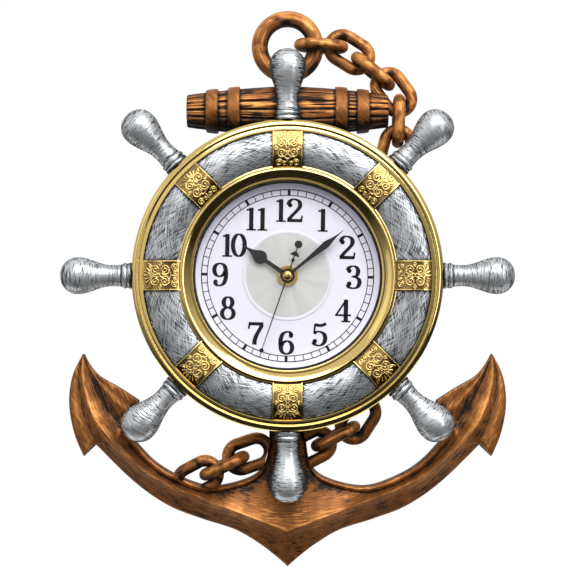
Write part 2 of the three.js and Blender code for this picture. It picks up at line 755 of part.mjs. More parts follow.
const movementFront = DIAL_SEAT - CASE_FLOOR - GAP;
const movementBack = movementFront - MOVEMENT_DEPTH;
const chamberFront = movementFront - MOVEMENT_WALL;
const coverBack = movementBack + MOVEMENT_WALL;
const chamberBack = coverBack + MOVEMENT_WALL;
const dialFront = DIAL_SEAT + GAP + DIAL_THICKNESS;
const movementHalf = (BATTERY_LENGTH + BATTERY_ROOM) / 2 + MOVEMENT_WALL;
const chamberHalf = movementHalf - MOVEMENT_WALL;

function axisAt(from, degrees, distance) {
  const angle = radians(degrees);
  return new THREE.Vector2(from.x + distance * Math.cos(angle), from.y + distance * Math.sin(angle));
}

const centreAxis = new THREE.Vector2(0, 0);
const thirdAxis = axisAt(centreAxis, 40, TRAIN_DISTANCE);
const stepAxis = axisAt(centreAxis, 115, STEP_DISTANCE);
const rotorAxis = axisAt(stepAxis, 100, ROTOR_DISTANCE);
const minuteAxis = axisAt(centreAxis, 165, MOTION_DISTANCE);
const knobAxis = axisAt(minuteAxis, 180, MOTION_DISTANCE);

// The gear layers are counted from the front wall of the movement.
function layer(index) {
  return chamberFront - GEAR_SPACING - GEAR_THICKNESS - index * (GEAR_THICKNESS + GEAR_SPACING);
}

const HOUR_LAYER = layer(0);
const MINUTE_LAYER = layer(1);
const CENTRE_LAYER = layer(2);
const THIRD_LAYER = layer(4);
const SECONDS_LAYER = layer(5);
const STEP_LAYER = layer(6);

const rotorPair = gearPair(stepAxis, rotorAxis, 30, 6);
const stepPair = gearPair(centreAxis, stepAxis, 36, 6);
const thirdPair = gearPair(thirdAxis, centreAxis, 45, 6);
const centrePair = gearPair(centreAxis, thirdAxis, 48, 6);
const minutePair = gearPair(minuteAxis, centreAxis, 24, 8);
const hourPair = gearPair(centreAxis, minuteAxis, 32, 8);
const knobPair = gearPair(minuteAxis, knobAxis, 24, 8);

function gear(shape, back, axis = centreAxis) {
  return plate(shape, back, back + GEAR_THICKNESS).translate(axis.x, 0, axis.y);
}

// An arbor that runs from the cover to the front wall, with a pivot in each.
function arbor(axis, front = chamberFront + PIVOT_LENGTH) {
  return pin(ARBOR_RADIUS, chamberBack - PIVOT_LENGTH, front, axis.x, axis.y);
}

function pivotHole(axis, wall) {
  const depth = PIVOT_LENGTH + GAP;
  return pin(ARBOR_RADIUS + GAP, wall - depth, wall + depth, axis.x, axis.y);
}

function rotor() {
  const magnetBack = THIRD_LAYER;
  const magnet = pin(MAGNET_RADIUS, magnetBack, CENTRE_LAYER, rotorAxis.x, rotorAxis.y);
  return joined([arbor(rotorAxis), magnet, gear(rotorPair.follower, STEP_LAYER, rotorAxis)]);
}

function stepWheel() {
  return joined([
    arbor(stepAxis),
    gear(rotorPair.driver, STEP_LAYER, stepAxis),
    gear(stepPair.follower, SECONDS_LAYER, stepAxis),
  ]);
}

function secondsWheel() {
  return joined([
    arbor(centreAxis, SECOND_HAND_DEPTH + HAND_THICKNESS),
    gear(stepPair.driver, SECONDS_LAYER),
    gear(thirdPair.follower, THIRD_LAYER),
  ]);
}

function thirdWheel() {
  return joined([
    arbor(thirdAxis),
    gear(thirdPair.driver, THIRD_LAYER, thirdAxis),
    gear(centrePair.follower, CENTRE_LAYER, thirdAxis),
  ]);
}

function bored(geometry, radius, back, front, axis = centreAxis) {
  return cut(geometry, [pin(radius, back - OVERSHOOT, front + OVERSHOOT, axis.x, axis.y)]);
}

function centreWheel() {
  const clutchFace = MINUTE_LAYER - GAP;
  const hub = pin(MINUTE_PIPE, CENTRE_LAYER, clutchFace);
  const wheel = joined([gear(centrePair.driver, CENTRE_LAYER), hub]);
  return bored(wheel, ARBOR_RADIUS + GAP, CENTRE_LAYER, clutchFace);
}

function minutePipe() {
  const front = MINUTE_HAND_DEPTH + HAND_THICKNESS;
  const pipe = joined([pin(MINUTE_PIPE, MINUTE_LAYER, front), gear(minutePair.follower, MINUTE_LAYER)]);
  return bored(pipe, ARBOR_RADIUS + GAP, MINUTE_LAYER, front);
}

// The wheel turned to mesh with the pinion in the middle also meets the knob, one gap further round.
function minuteWheel() {
  const front = HOUR_LAYER + GEAR_THICKNESS;
  const wheel = gear(minutePair.driver, MINUTE_LAYER, minuteAxis);
  const pinion = plate(hourPair.follower, MINUTE_LAYER, front).translate(minuteAxis.x, 0, minuteAxis.y);
  return bored(joined([wheel, pinion]), STUD_RADIUS + GAP, MINUTE_LAYER, front, minuteAxis);
}

function hourWheel() {
  const front = HOUR_HAND_DEPTH + HAND_THICKNESS;
  const pipe = pin(HOUR_PIPE, HOUR_LAYER, front);
  return bored(joined([gear(hourPair.driver, HOUR_LAYER), pipe]), MINUTE_PIPE + GAP, HOUR_LAYER, front);
}

function setKnob() {
  const shaft = pin(ARBOR_RADIUS, movementBack, chamberFront + PIVOT_LENGTH, knobAxis.x, knobAxis.y);
  const grip = pin(KNOB_RADIUS, movementBack, coverBack - GAP, knobAxis.x, knobAxis.y, HUB_FACETS);
  return joined([shaft, grip, gear(knobPair.follower, MINUTE_LAYER, knobAxis)]);
}

// Movement

const batteryHeight = -chamberHalf + GAP + BATTERY_RADIUS;
const bayFloor = movementFront - MOVEMENT_WALL / 2;
const batteryDepth = bayFloor - GAP - BATTERY_RADIUS;
const bayTop = batteryHeight + BATTERY_RADIUS + GAP;

function movementCase() {
  const square = rectangle(-movementHalf, -movementHalf, movementHalf, movementHalf);
  const box = plate(square, movementBack, movementFront);
  const mouth = movementBack - OVERSHOOT;
  const chamber = plate(rectangle(-chamberHalf, TRAIN_FLOOR, chamberHalf, chamberHalf), mouth, chamberFront);
  const bay = plate(rectangle(-chamberHalf, -chamberHalf, chamberHalf, bayTop), mouth, bayFloor);
  const nutFront = dialFront + GAP + NUT_THICKNESS;
  const bush = pin(BUSH_RADIUS, chamberFront, nutFront);
  const bore = pin(BUSH_BORE, chamberFront - OVERSHOOT, nutFront + OVERSHOOT);
  const stud = pin(STUD_RADIUS, MINUTE_LAYER, chamberFront + PIVOT_LENGTH, minuteAxis.x, minuteAxis.y);
  const pivots = [rotorAxis, stepAxis, thirdAxis, knobAxis].map((axis) => pivotHole(axis, chamberFront));
  const hollow = cut(box, [chamber, bay]);
  return joined([cut(joined([hollow, bush]), [bore, ...pivots]), stud]);
}

function movementCover() {
  const edge = chamberHalf - GAP;
  const lid = plate(rectangle(-edge, TRAIN_FLOOR + GAP, edge, edge), coverBack, chamberBack);
  const pivots = [rotorAxis, stepAxis, thirdAxis, centreAxis].map((axis) => pivotHole(axis, chamberBack));
  const ends = [coverBack - OVERSHOOT, chamberBack + OVERSHOOT];
  const knobHole = pin(ARBOR_RADIUS + GAP, ...ends, knobAxis.x, knobAxis.y);
  return cut(lid, [...pivots, knobHole]);
}

function battery() {
  const end = BATTERY_LENGTH / 2;
  const shoulder = end - NUB_HEIGHT;
  const profile = [
    [0, -end],
    [BATTERY_RADIUS, -end],
    [BATTERY_RADIUS, shoulder],
    [NUB_RADIUS, shoulder],
    [NUB_RADIUS, end],
    [0, end],
  ];
  return lathe(profile, HUB_FACETS).rotateZ(-turn / 4).translate(0, -batteryDepth, batteryHeight);
}

const statorReach = MAGNET_RADIUS + STATOR_MARGIN;
const chamberInside = chamberHalf - STATOR_MARGIN;

function circuitBoard() {
  const front = chamberFront - GAP;
  const left = rotorAxis.x + statorReach + BOARD_CLEARANCE;
  return plate(rectangle(left, rotorAxis.y, chamberInside, chamberInside), front - MOVEMENT_WALL, front);
}

// The stator plate rings the magnet, and its long leg carries the winding.
function coil() {
  const back = THIRD_LAYER + GEAR_THICKNESS;
  const bottom = rotorAxis.y - statorReach;
  const yokeEnd = rotorAxis.x - statorReach;
  const windingStart = STATOR_LEG - chamberInside;
  const frame = rectangle(-chamberInside, bottom, rotorAxis.x + statorReach, chamberInside);
  frame.holes.push(disc(MAGNET_RADIUS + GAP, rotorAxis.x, rotorAxis.y));
  frame.holes.push(rectangle(windingStart, bottom + STATOR_LEG, yokeEnd, chamberInside - STATOR_LEG));
  const profile = [[0, windingStart], [STATOR_LEG, windingStart], [STATOR_LEG, yokeEnd], [0, yokeEnd]];
  const winding = lathe(profile, PIN_FACETS).rotateZ(-turn / 4);
  winding.translate(0, -back - GEAR_THICKNESS / 2, chamberInside - STATOR_MARGIN);
  return joined([plate(frame, back, back + GEAR_THICKNESS), winding]);
}

function fixingNut() {
  const back = dialFront + GAP;
  const front = back + NUT_THICKNESS;
  const bore = BUSH_RADIUS + GAP;
  const bevel = WALL / 4;
  const nut = [
    [bore, back],
    [NUT_RADIUS, back],
    [NUT_RADIUS, front - bevel],
    [NUT_RADIUS - bevel, front],
    [bore, front],
  ];
  return turned(nut, HUB_FACETS);
}

// Hands, drawn pointing at twelve, each from the right side of its blade

function hand(side, hub, bore, back) {
  const front = back + HAND_THICKNESS;
  const left = side.map(([x, z]) => [-x, z]).reverse();
  const blade = plate(outline([...side, ...left]), back, front);
  const boss = pin(hub, back, front, 0, 0, HUB_FACETS);
  return bored(joined([blade, boss]), bore, back, front);
}

function hourHand() {
  const length = HOUR_HAND_LENGTH;
  const side = [
    [STEM_HALF_WIDTH, 0],
    [STEM_HALF_WIDTH, 0.48 * length],
    [SPADE_HALF_WIDTH, 0.64 * length],
    [SPADE_HALF_WIDTH / 2, 0.76 * length],
    [SPADE_HALF_WIDTH / 6, 0.9 * length],
    [POINT_HALF_WIDTH, length],
  ];
  return hand(side, BUSH_RADIUS + GAP, HOUR_PIPE + GAP, HOUR_HAND_DEPTH);
}

function minuteHand() {
  const length = MINUTE_HAND_LENGTH;
  const side = [[LANCE_STEM, 0], [LANCE_HALF_WIDTH, 0.68 * length], [POINT_HALF_WIDTH, length]];
  return hand(side, BUSH_RADIUS, MINUTE_PIPE + GAP, MINUTE_HAND_DEPTH);
}

function secondHand() {
  const back = SECOND_HAND_DEPTH;
  const front = back + HAND_THICKNESS;
  const needle = rectangle(-NEEDLE_HALF_WIDTH, -SECOND_TAIL_LENGTH, NEEDLE_HALF_WIDTH, SECOND_HAND_LENGTH);
  const tail = pin(TAIL_DISC, back, front, 0, -SECOND_TAIL_LENGTH, HUB_FACETS);
  const boss = pin(CAP_RADIUS, back, front + GAP, 0, 0, HUB_FACETS);
  const cap = pin(CAP_RADIUS, front + GAP, front + CAP_HEIGHT, 0, 0, HUB_FACETS);
  const blade = joined([plate(needle, back, front), tail, boss]);
  return joined([bored(blade, ARBOR_RADIUS + GAP, back, front), cap]);
}

// Assembly, with the axis of the hands below the nail

const clock = new THREE.Group();
const body = new THREE.Group();
body.position.z = -NAIL_HEIGHT;
clock.add(body);

function add(name, geometry, material) {
  const mesh = new THREE.Mesh(geometry, material);
  mesh.name = name;
  body.add(mesh);
}

add("anchor", anchor(), paint.copper);
add("stock", stock(), paint.copper);
[-HOOP_OUTER_PLACE, -HOOP_INNER_PLACE, HOOP_INNER_PLACE, HOOP_OUTER_PLACE].forEach((place, i) => {
  add(`stock_hoop_${i + 1}`, stockHoop(place), paint.copper);
});
add("shackle_ring", shackleRing(), paint.copper);
for (const entry of chain) {
  add(entry.name, chainPiece(entry), paint.copper);
}
add("rim", rim(), paint.silver);
add("outer_trim", outerTrim(), paint.gold);
add("inner_bezel", innerBezel(), paint.gold);
for (let i = 0; i < SPOKE_COUNT; i++) {
  add(`spoke_${i + 1}`, radial(spoke(), spokeAngle(i)), paint.silver);
  add(`band_${i + 1}`, radial(band(), spokeAngle(i)), paint.gold);
}
add("dial", dial(), paint.card);
add("lens", lens(), paint.glass);
add("back_case", backCase(), paint.black);
add("hanger", hanger(), paint.steel);
add("movement_case", movementCase(), paint.black);
add("movement_cover", movementCover(), paint.black);
add("fixing_nut", fixingNut(), paint.brass);
add("battery", battery(), paint.steel);
add("circuit_board", circuitBoard(), paint.nylon);
add("coil", coil(), paint.copper);
add("rotor", rotor(), paint.steel);
add("step_wheel", stepWheel(), paint.nylon);
add("seconds_wheel", secondsWheel(), paint.nylon);
add("third_wheel", thirdWheel(), paint.nylon);
add("centre_wheel", centreWheel(), paint.nylon);
add("minute_pipe", minutePipe(), paint.brass);
add("minute_wheel", minuteWheel(), paint.nylon);
add("hour_wheel", hourWheel(), paint.nylon);
add("set_knob", setKnob(), paint.nylon);
add("hour_hand", radial(hourHand(), (turn * (SHOWN_HOUR + SHOWN_MINUTE / 60)) / 12), paint.black);
add("minute_hand", radial(minuteHand(), (turn * SHOWN_MINUTE) / 60), paint.black);
add("second_hand", radial(secondHand(), (turn * SHOWN_SECOND) / 60), paint.black);

export default clock;
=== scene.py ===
"""Ship wheel wall clock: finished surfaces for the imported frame.

Lengths are millimetres from the axis of the hands: x to the right, depth from the wall towards the viewer,
height upwards. Angles are clockwise from twelve o'clock, seen from the front.
"""

from math import atan2, cos, degrees, exp, hypot, pi, radians, sin, sqrt

import bmesh
import bpy
from bmesh.types import BMEdge, BMVert
from mathutils import Matrix, Vector, kdtree, noise


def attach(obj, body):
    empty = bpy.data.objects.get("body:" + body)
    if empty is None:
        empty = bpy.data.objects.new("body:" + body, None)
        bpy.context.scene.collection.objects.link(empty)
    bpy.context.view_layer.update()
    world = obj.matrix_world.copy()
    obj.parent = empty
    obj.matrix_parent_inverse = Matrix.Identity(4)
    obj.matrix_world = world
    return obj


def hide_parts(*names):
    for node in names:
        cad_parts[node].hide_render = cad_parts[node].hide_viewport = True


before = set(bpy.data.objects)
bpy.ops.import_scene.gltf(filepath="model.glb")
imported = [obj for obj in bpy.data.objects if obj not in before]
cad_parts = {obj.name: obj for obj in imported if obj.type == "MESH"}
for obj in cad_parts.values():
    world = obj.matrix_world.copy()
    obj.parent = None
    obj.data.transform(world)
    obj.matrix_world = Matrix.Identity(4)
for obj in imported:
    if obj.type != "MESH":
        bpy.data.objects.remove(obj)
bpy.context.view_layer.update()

TO_FRAME = Matrix.Translation((0, 0, -0.064)) @ Matrix.Scale(0.001, 4)


# Tools of the bench

def linear(code):
    """The linear colour of an sRGB hex value."""
    shares = [int(code[i : i + 2], 16) / 255 for i in (1, 3, 5)]
    return tuple(c / 12.92 if c <= 0.04045 else ((c + 0.055) / 1.055) ** 2.4 for c in shares) + (1.0,)


def add(tree, kind, links=None, **settings):
    """Adds a node with its settings and gives its outputs. links sets inputs to sockets or values."""
    node = tree.nodes.new("ShaderNode" + kind)
    for name, value in settings.items():
        setattr(node, name, value)
    for name, value in (links or {}).items():
        if isinstance(value, bpy.types.NodeSocket):
            tree.links.new(value, node.inputs[name])
        else:
            node.inputs[name].default_value = value
    return node.outputs


def finish(name, **values):
    """A new finish: the material, its tree and its surface shader with fixed values on their sockets."""
    material = bpy.data.materials.new(name)
    material.use_nodes = True
    shader = material.node_tree.nodes["Principled BSDF"]
    for socket, value in values.items():
        shader.inputs[socket.replace("_", " ")].default_value = value
    return material, material.node_tree, shader


def lead(tree, shader, **outputs):
    """Links outputs of nodes to the sockets of a shader."""
    for socket, output in outputs.items():
        tree.links.new(output, shader.inputs[socket.replace("_", " ")])


def mix(a, b, share):
    return a + (b - a) * share


def ease(value, low, high):
    """0 below low, 1 above high and smooth between."""
    share = min(1, max(0, (value - low) / (high - low)))
    return share * share * (3 - 2 * share)


def along(line, t):
    """The point a share t of the way along a smooth line through the given points."""
    spot = t * (len(line) - 1)
    i = min(int(spot), len(line) - 2)
    w = spot - i
    last = len(line) - 1
    a, b, c, d = (Vector(line[min(max(k, 0), last)]) for k in (i - 1, i, i + 1, i + 2))
    return b + 0.5 * w * ((c - a) + w * ((2 * a - 5 * b + 4 * c - d) + w * (3 * (b - c) + d - a)))


def smooth_line(line, count):
    return [tuple(along(line, i / count)) for i in range(count + 1)]


def clockwise(angle):
    return Matrix.Rotation(radians(angle), 4, "Y")


def placed(spot, angle, axis):
    """A turn about an axis, then a shift to a spot."""
    return Matrix.Translation(spot) @ Matrix.Rotation(angle, 4, axis)


def move(bm, matrix):
    bmesh.ops.transform(bm, matrix=matrix, verts=bm.verts)


def sheet(bm, columns, rows, place):
    """A grid whose vertices go where place says, by their shares across and along."""
    made = bmesh.ops.create_grid(bm, x_segments=columns, y_segments=rows, size=0.5)["verts"]
    for vert in made:
        vert.co = place(vert.co.x + 0.5, vert.co.y + 0.5)
    return made


def only(parts, kind):
    """The vertices or the edges among the parts that an operator gives back."""
    return [part for part in parts if isinstance(part, kind)]


def joined(parts, kind):
    """All elements of a kind that belong to the parts, such as the link_edges of vertices."""
    return list({other for part in parts for other in getattr(part, kind)})


def turning(bm, profile, steps=192, closed=True):
    """A turned body about the axis of the hands, from (radius, depth) points."""
    line = [bm.verts.new((radius, -depth, 0)) for radius, depth in profile]
    ends = line[1:] + line[:1] if closed else line[1:]
    edges = [bm.edges.new(pair) for pair in zip(line, ends)]
    bmesh.ops.spin(
        bm, geom=line + edges, axis=(0, 1, 0), cent=(0, 0, 0), angle=2 * pi, steps=steps, use_merge=True
    )


def slab(bm, low, high, bevel=0.0, segments=3):
    """A block between two corners, with rounded edges."""
    made = bmesh.ops.create_cube(bm, size=1)["verts"]
    low, high = Vector(low), Vector(high)
    bmesh.ops.scale(bm, vec=high - low, verts=made)
    bmesh.ops.translate(bm, vec=(low + high) / 2, verts=made)
    if bevel:
        edges = joined(made, "link_edges")
        bmesh.ops.bevel(
            bm, geom=edges, offset=bevel, affect="EDGES", segments=segments, profile=0.5, material=-1
        )


def layers(bm):
    """The layers of the vertices: grain, a place in millimetres, and wear_and_shading, from -1 for hollows
    and painted shade to 1 for worn edges and painted highlight.
    """
    kinds = bm.verts.layers
    grain = kinds.float_vector.get("grain") or kinds.float_vector.new("grain")
    wear_and_shading = kinds.float.get("wear_and_shading") or kinds.float.new("wear_and_shading")
    return grain, wear_and_shading


def mark(bm, formula):
    """Writes the grain and the wear_and_shading that a formula gives for the place of each vertex."""
    grain, wear_and_shading = layers(bm)
    for vert in bm.verts:
        vert[grain], vert[wear_and_shading] = formula(vert.co)


def shade_below(bm, strength):
    """Painted shade: faces that look down are made darker, as if lit from above."""
    _, wear_and_shading = layers(bm)
    bmesh.ops.recalc_face_normals(bm, faces=bm.faces)
    bm.normal_update()
    for vert in bm.verts:
        vert[wear_and_shading] -= strength * max(0, -vert.normal.z) ** 1.3


def piece(name, bm, finishes, stands_for=(), body="clock", sharp=38):
    """Closes the mesh, puts it in the frame and hands it to its body."""
    bmesh.ops.remove_doubles(bm, verts=bm.verts, dist=0.0005)
    bmesh.ops.recalc_face_normals(bm, faces=bm.faces)
    move(bm, TO_FRAME)
    mesh = bpy.data.meshes.new(name)
    bm.to_mesh(mesh)
    bm.free()
    for material in finishes:
        mesh.materials.append(material)
    mesh.shade_smooth()
    mesh.set_sharp_from_angle(angle=radians(sharp))
    made = bpy.data.objects.new(name, mesh)
    bpy.context.scene.collection.objects.link(made)
    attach(made, body)
    if stands_for:
        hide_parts(*stands_for)


def turned_piece(name, profile, steps, material, stands_for=(), body="clock", formula=None):
    """A piece that is one turned body, with grain and wear_and_shading where a formula gives them."""
    bm = bmesh.new()
    turning(bm, profile, steps)
    if formula:
        mark(bm, formula)
    piece(name, bm, [material], stands_for, body)


# Finishes

EASED = {"interpolation_type": "SMOOTHSTEP"}


def gold_plate():
    """Vacuum-plated ABS: a bright yellow mirror, uneven from the mould, with brown painted shade in its
    seams and round its raised ornament.
    """
    material, tree, shader = finish("Gold plated ABS", Metallic=1.0)
    wear_and_shading = add(tree, "Attribute", attribute_name="wear_and_shading")["Fac"]
    place = add(tree, "TexCoord")["Object"]
    # Sink marks of the moulding, about 9 mm apart, and haze of 3 mm.
    sinks = add(tree, "TexNoise", {"Vector": place, "Scale": 1000 / 9, "Detail": 1.0})["Fac"]
    haze = add(tree, "TexNoise", {"Vector": place, "Scale": 1000 / 3, "Detail": 4.0})["Fac"]
    # Painted shade: brown where wear_and_shading is low.
    wash = add(tree, "MapRange", {"Value": wear_and_shading, "From Min": -0.05, "From Max": -0.9}, **EASED)[0]
    colour = add(tree, "Mix", {0: wash, 6: linear("#EACC82"), 7: linear("#553309")}, data_type="RGBA")[2]
    rough = add(
        tree, "MapRange", {"Value": haze, "From Min": 0.3, "From Max": 0.7, "To Min": 0.09, "To Max": 0.17}
    )[0]
    bump = add(tree, "Bump", {"Height": sinks, "Strength": 0.25, "Distance": 0.0003})[0]
    lead(tree, shader, Base_Color=colour, Roughness=rough, Normal=bump)
    return material


def brushed_silver(name, paint, flake, strokes):
    """Silver paint dragged over black with a stiff brush: pale scratches, black between them.

    flake is how metallic the paint is. strokes are the ways the brush went: the turn of its marks, their
    size in millimetres and their weight.
    """
    material, tree, shader = finish(name)
    grain = add(tree, "Attribute", attribute_name="grain")["Vector"]
    wear_and_shading = add(tree, "Attribute", attribute_name="wear_and_shading")["Fac"]
    # The brush swings slowly, by about 5 mm in 45 mm.
    swing = add(tree, "TexNoise", {"Vector": grain, "Scale": 1 / 45, "Detail": 0.0})["Color"]
    swung = add(tree, "VectorMath", {0: swing, 1: (12, 12, 0), 2: grain}, operation="MULTIPLY_ADD")[0]
    # Patches where the brush was wetter, about 13 mm across.
    patches = add(tree, "TexNoise", {"Vector": grain, "Scale": 1 / 13, "Detail": 2.0})["Fac"]
    total = add(tree, "Math", {0: patches, 1: 0.7, 2: -0.38}, operation="MULTIPLY_ADD")[0]
    # Bristle marks are about 0.2 mm wide; they are drawn as 0.5 mm so that they show.
    for turned, size, weight in strokes:
        laid = add(
            tree, "Mapping", {"Vector": swung, "Rotation": turned, "Scale": size}, vector_type="TEXTURE"
        )[0]
        bristles = add(
            tree, "TexNoise", {"Vector": laid, "Scale": 1.0, "Detail": 2.0, "Roughness": 0.6}
        )["Fac"]
        crisp = add(tree, "MapRange", {"Value": bristles, "From Min": 0.4, "From Max": 0.6})[0]
        total = add(tree, "Math", {0: crisp, 1: weight, 2: total}, operation="MULTIPLY_ADD")[0]
    # wear_and_shading brings in the painted shade on edges and sides and the painted highlight on the fronts
    # of the upright spokes.
    reached = add(tree, "Math", {0: wear_and_shading, 1: 0.5, 2: total}, operation="MULTIPLY_ADD")[0]
    cover = add(tree, "MapRange", {"Value": reached, "From Min": 0.24, "From Max": 0.68}, **EASED)[0]
    colour = add(tree, "Mix", {0: cover, 6: linear("#1F2226"), 7: linear(paint)}, data_type="RGBA")[2]
    metal = add(tree, "MapRange", {"Value": cover, "To Min": 0.3, "To Max": flake})[0]
    rough = add(tree, "MapRange", {"Value": cover, "To Min": 0.5, "To Max": 0.33})[0]
    bump = add(tree, "Bump", {"Height": total, "Strength": 0.12, "Distance": 0.0002})[0]
    lead(tree, shader, Base_Color=colour, Metallic=metal, Roughness=rough, Normal=bump)
    return material


def antique_copper():
    """Copper paint with a black wash wiped off: dark streaks along the grain and light copper on worn edges,
    with painted shade and painted highlight from wear_and_shading.
    """
    material, tree, shader = finish("Antique copper paint", Specular_IOR_Level=0.25)
    grain = add(tree, "Attribute", attribute_name="grain")["Vector"]
    wear_and_shading = add(tree, "Attribute", attribute_name="wear_and_shading")["Fac"]
    # Wiping marks 13 mm long; their real width of 0.3 mm is drawn as 0.8 mm so that they show.
    laid = add(tree, "Mapping", {"Vector": grain, "Scale": (13, 0.8, 0.8)}, vector_type="TEXTURE")[0]
    wiping = add(
        tree, "TexNoise", {"Vector": laid, "Scale": 1.0, "Detail": 3.0, "Roughness": 0.6}
    )["Fac"]
    streaks = add(tree, "MapRange", {"Value": wiping, "From Min": 0.34, "From Max": 0.66})[0]
    # Where the cloth missed, about 9 mm across.
    missed = add(tree, "TexNoise", {"Vector": grain, "Scale": 1 / 9, "Detail": 3.0})["Fac"]
    stained = add(tree, "Math", {0: missed, 1: 0.9, 2: -0.16}, operation="MULTIPLY_ADD")[0]
    wiped = add(tree, "Math", {0: streaks, 1: 0.58, 2: stained}, operation="MULTIPLY_ADD")[0]
    rubbed_and_shaded = add(tree, "Math", {0: wear_and_shading, 1: 0.5, 2: wiped}, operation="MULTIPLY_ADD")[0]
    clean = add(tree, "MapRange", {"Value": rubbed_and_shaded, "From Min": 0.12, "From Max": 0.6}, **EASED)[0]
    # The lightest copper stands for worn edges and, as painted highlight, for the crests.
    bright = add(tree, "MapRange", {"Value": rubbed_and_shaded, "From Min": 0.7, "From Max": 1.2}, **EASED)[0]
    base = add(tree, "Mix", {0: clean, 6: linear("#1A1109"), 7: linear("#87542A")}, data_type="RGBA")[2]
    colour = add(tree, "Mix", {0: bright, 6: base, 7: linear("#D8934F")}, data_type="RGBA")[2]
    metal = add(tree, "MapRange", {"Value": clean, "To Min": 0.2, "To Max": 0.55})[0]
    rough = add(tree, "MapRange", {"Value": clean, "To Min": 0.5, "To Max": 0.4})[0]
    bump = add(tree, "Bump", {"Height": wiped, "Strength": 0.4, "Distance": 0.0003})[0]
    lead(tree, shader, Base_Color=colour, Metallic=metal, Roughness=rough, Normal=bump)
    return material


def coated(name, colour, other, size, roughness, bump=0.0, depth=0.0001, **values):
    """A plain moulded, printed or plated surface: two close colours in a fine pattern of a given size."""
    material, tree, shader = finish(name, **values)
    place = add(tree, "TexCoord")["Object"]
    pattern = add(tree, "TexNoise", {"Vector": place, "Scale": 1000 / size, "Detail": 3.0})["Fac"]
    mottle = add(tree, "MapRange", {"Value": pattern, "From Min": 0.35, "From Max": 0.65})[0]
    shade = add(tree, "Mix", {0: mottle, 6: linear(colour), 7: linear(other)}, data_type="RGBA")[2]
    rough = add(
        tree, "MapRange", {"Value": mottle, "To Min": roughness - 0.04, "To Max": roughness + 0.05}
    )[0]
    lead(tree, shader, Base_Color=shade, Roughness=rough)
    if bump:
        relief = add(tree, "Bump", {"Height": pattern, "Strength": bump, "Distance": depth})[0]
        lead(tree, shader, Normal=relief)
    return material


def spun_disc():
    """Satin silver foil with a sunburst: fine rays, and a painted sheen that brightens and darkens round the
    disc.
    """
    material, tree, shader = finish("Satin silver foil", Metallic=0.15, Roughness=0.4)
    grain = add(tree, "Attribute", attribute_name="grain")["Vector"]
    # The rays are 0.1 mm wide; they are drawn as 1 mm at the edge.
    rays = add(
        tree, "TexNoise", {"Vector": grain, "Scale": 1.0, "Detail": 4.0, "Roughness": 0.6}
    )["Fac"]
    # Painted sheen: slow brightening and darkening round the disc.
    painted_sheen = add(tree, "TexNoise", {"Vector": grain, "Scale": 0.06, "Detail": 1.0})["Fac"]
    both = add(tree, "Math", {0: painted_sheen, 1: 1.4, 2: rays}, operation="MULTIPLY_ADD")[0]
    share = add(tree, "MapRange", {"Value": both, "From Min": 0.9, "From Max": 1.5})[0]
    colour = add(tree, "Mix", {0: share, 6: linear("#CFCBCC"), 7: linear("#DFDBDC")}, data_type="RGBA")[2]
    lead(tree, shader, Base_Color=colour)
    return material


def clear_lens():
    """Clear styrene: seen through, with a faint mirror that grows towards the edge of sight."""
    material, tree, shader = finish("Clear styrene")
    tree.nodes.remove(shader)
    mirror = add(tree, "BsdfGlossy", {"Roughness": 0.02, "Color": (1, 1, 1, 1)})[0]
    through = add(tree, "BsdfTransparent", {"Color": linear("#FBFCFB")})[0]
    grazing = add(tree, "Fresnel", {"IOR": 1.2})[0]
    inside = add(tree, "NewGeometry")["Backfacing"]
    front = add(tree, "Math", {0: 1.0, 1: inside}, operation="SUBTRACT")[0]
    share = add(tree, "Math", {0: grazing, 1: front}, operation="MULTIPLY")[0]
    both = add(tree, "MixShader", {0: share, 1: through, 2: mirror})[0]
    tree.links.new(both, tree.nodes["Material Output"].inputs["Surface"])
    return material


GOLD = gold_plate()
RIM_SILVER = brushed_silver(
    "Brushed silver paint, rim",
    "#D0D3D7",
    0.85,
    [
        ((0, 0, -0.5), (13, 0.48, 1), 0.68),
        ((0, 0, 0.45), (13, 0.48, 1), 0.62),
        ((0, 0, 0.05), (9, 0.48, 1), 0.42),
    ],
)
SPOKE_SILVER = brushed_silver(
    "Brushed silver paint, spokes",
    "#CBCFD2",
    0.72,
    [
        ((0, 0, 0.06), (15, 0.5, 4), 0.56),
        ((0, 0, -0.14), (11, 0.45, 4), 0.42),
        ((0, 0, 0.5), (7, 0.45, 4), 0.22),
    ],
)
COPPER = antique_copper()
DIAL_WHITE = coated("Printed dial card", "#EBE6F5", "#E8E3F2", 2.0, 0.5)
DIAL_RING = coated("Raised dial ring", "#E6E3EE", "#E1DEEA", 2.0, 0.45)
DIAL_BLACK = coated("Black dial ink", "#121013", "#18161A", 1.5, 0.6, Specular_IOR_Level=0.2)
FOIL = spun_disc()
LENS = clear_lens()
HAND_BLACK = coated("Black hand enamel", "#161517", "#1F1D20", 1.5, 0.32, Coat_Weight=0.3)
BRASS = coated("Turned brass", "#E3C572", "#D9BA64", 1.2, 0.18, Metallic=1.0)
BLACK_ABS = coated("Black moulded ABS", "#18181A", "#202022", 0.8, 0.5, 0.35, 0.0002)
ZINC = coated("Zinc plated steel", "#B9BCBE", "#A4A8AC", 4.0, 0.33, Metallic=1.0)
NYLON = coated("White gear nylon", "#E7E4D8", "#DEDACB", 2.5, 0.45)
BATTERY = coated("Plain battery sleeve", "#3F4A45", "#38423E", 3.0, 0.3, Coat_Weight=0.4)
BATTERY_BAND = coated(
    "Copper coloured battery sleeve", "#B87A3A", "#A96E33", 3.0, 0.3, Metallic=0.6, Coat_Weight=0.4
)
BOARD = coated("Glass epoxy board", "#2F6B3C", "#2A6136", 1.0, 0.4)
WINDING = coated("Enamelled copper wire", "#A6531F", "#8D4317", 0.5, 0.3, 0.5, 0.0001, Metallic=0.8)


# Wheel

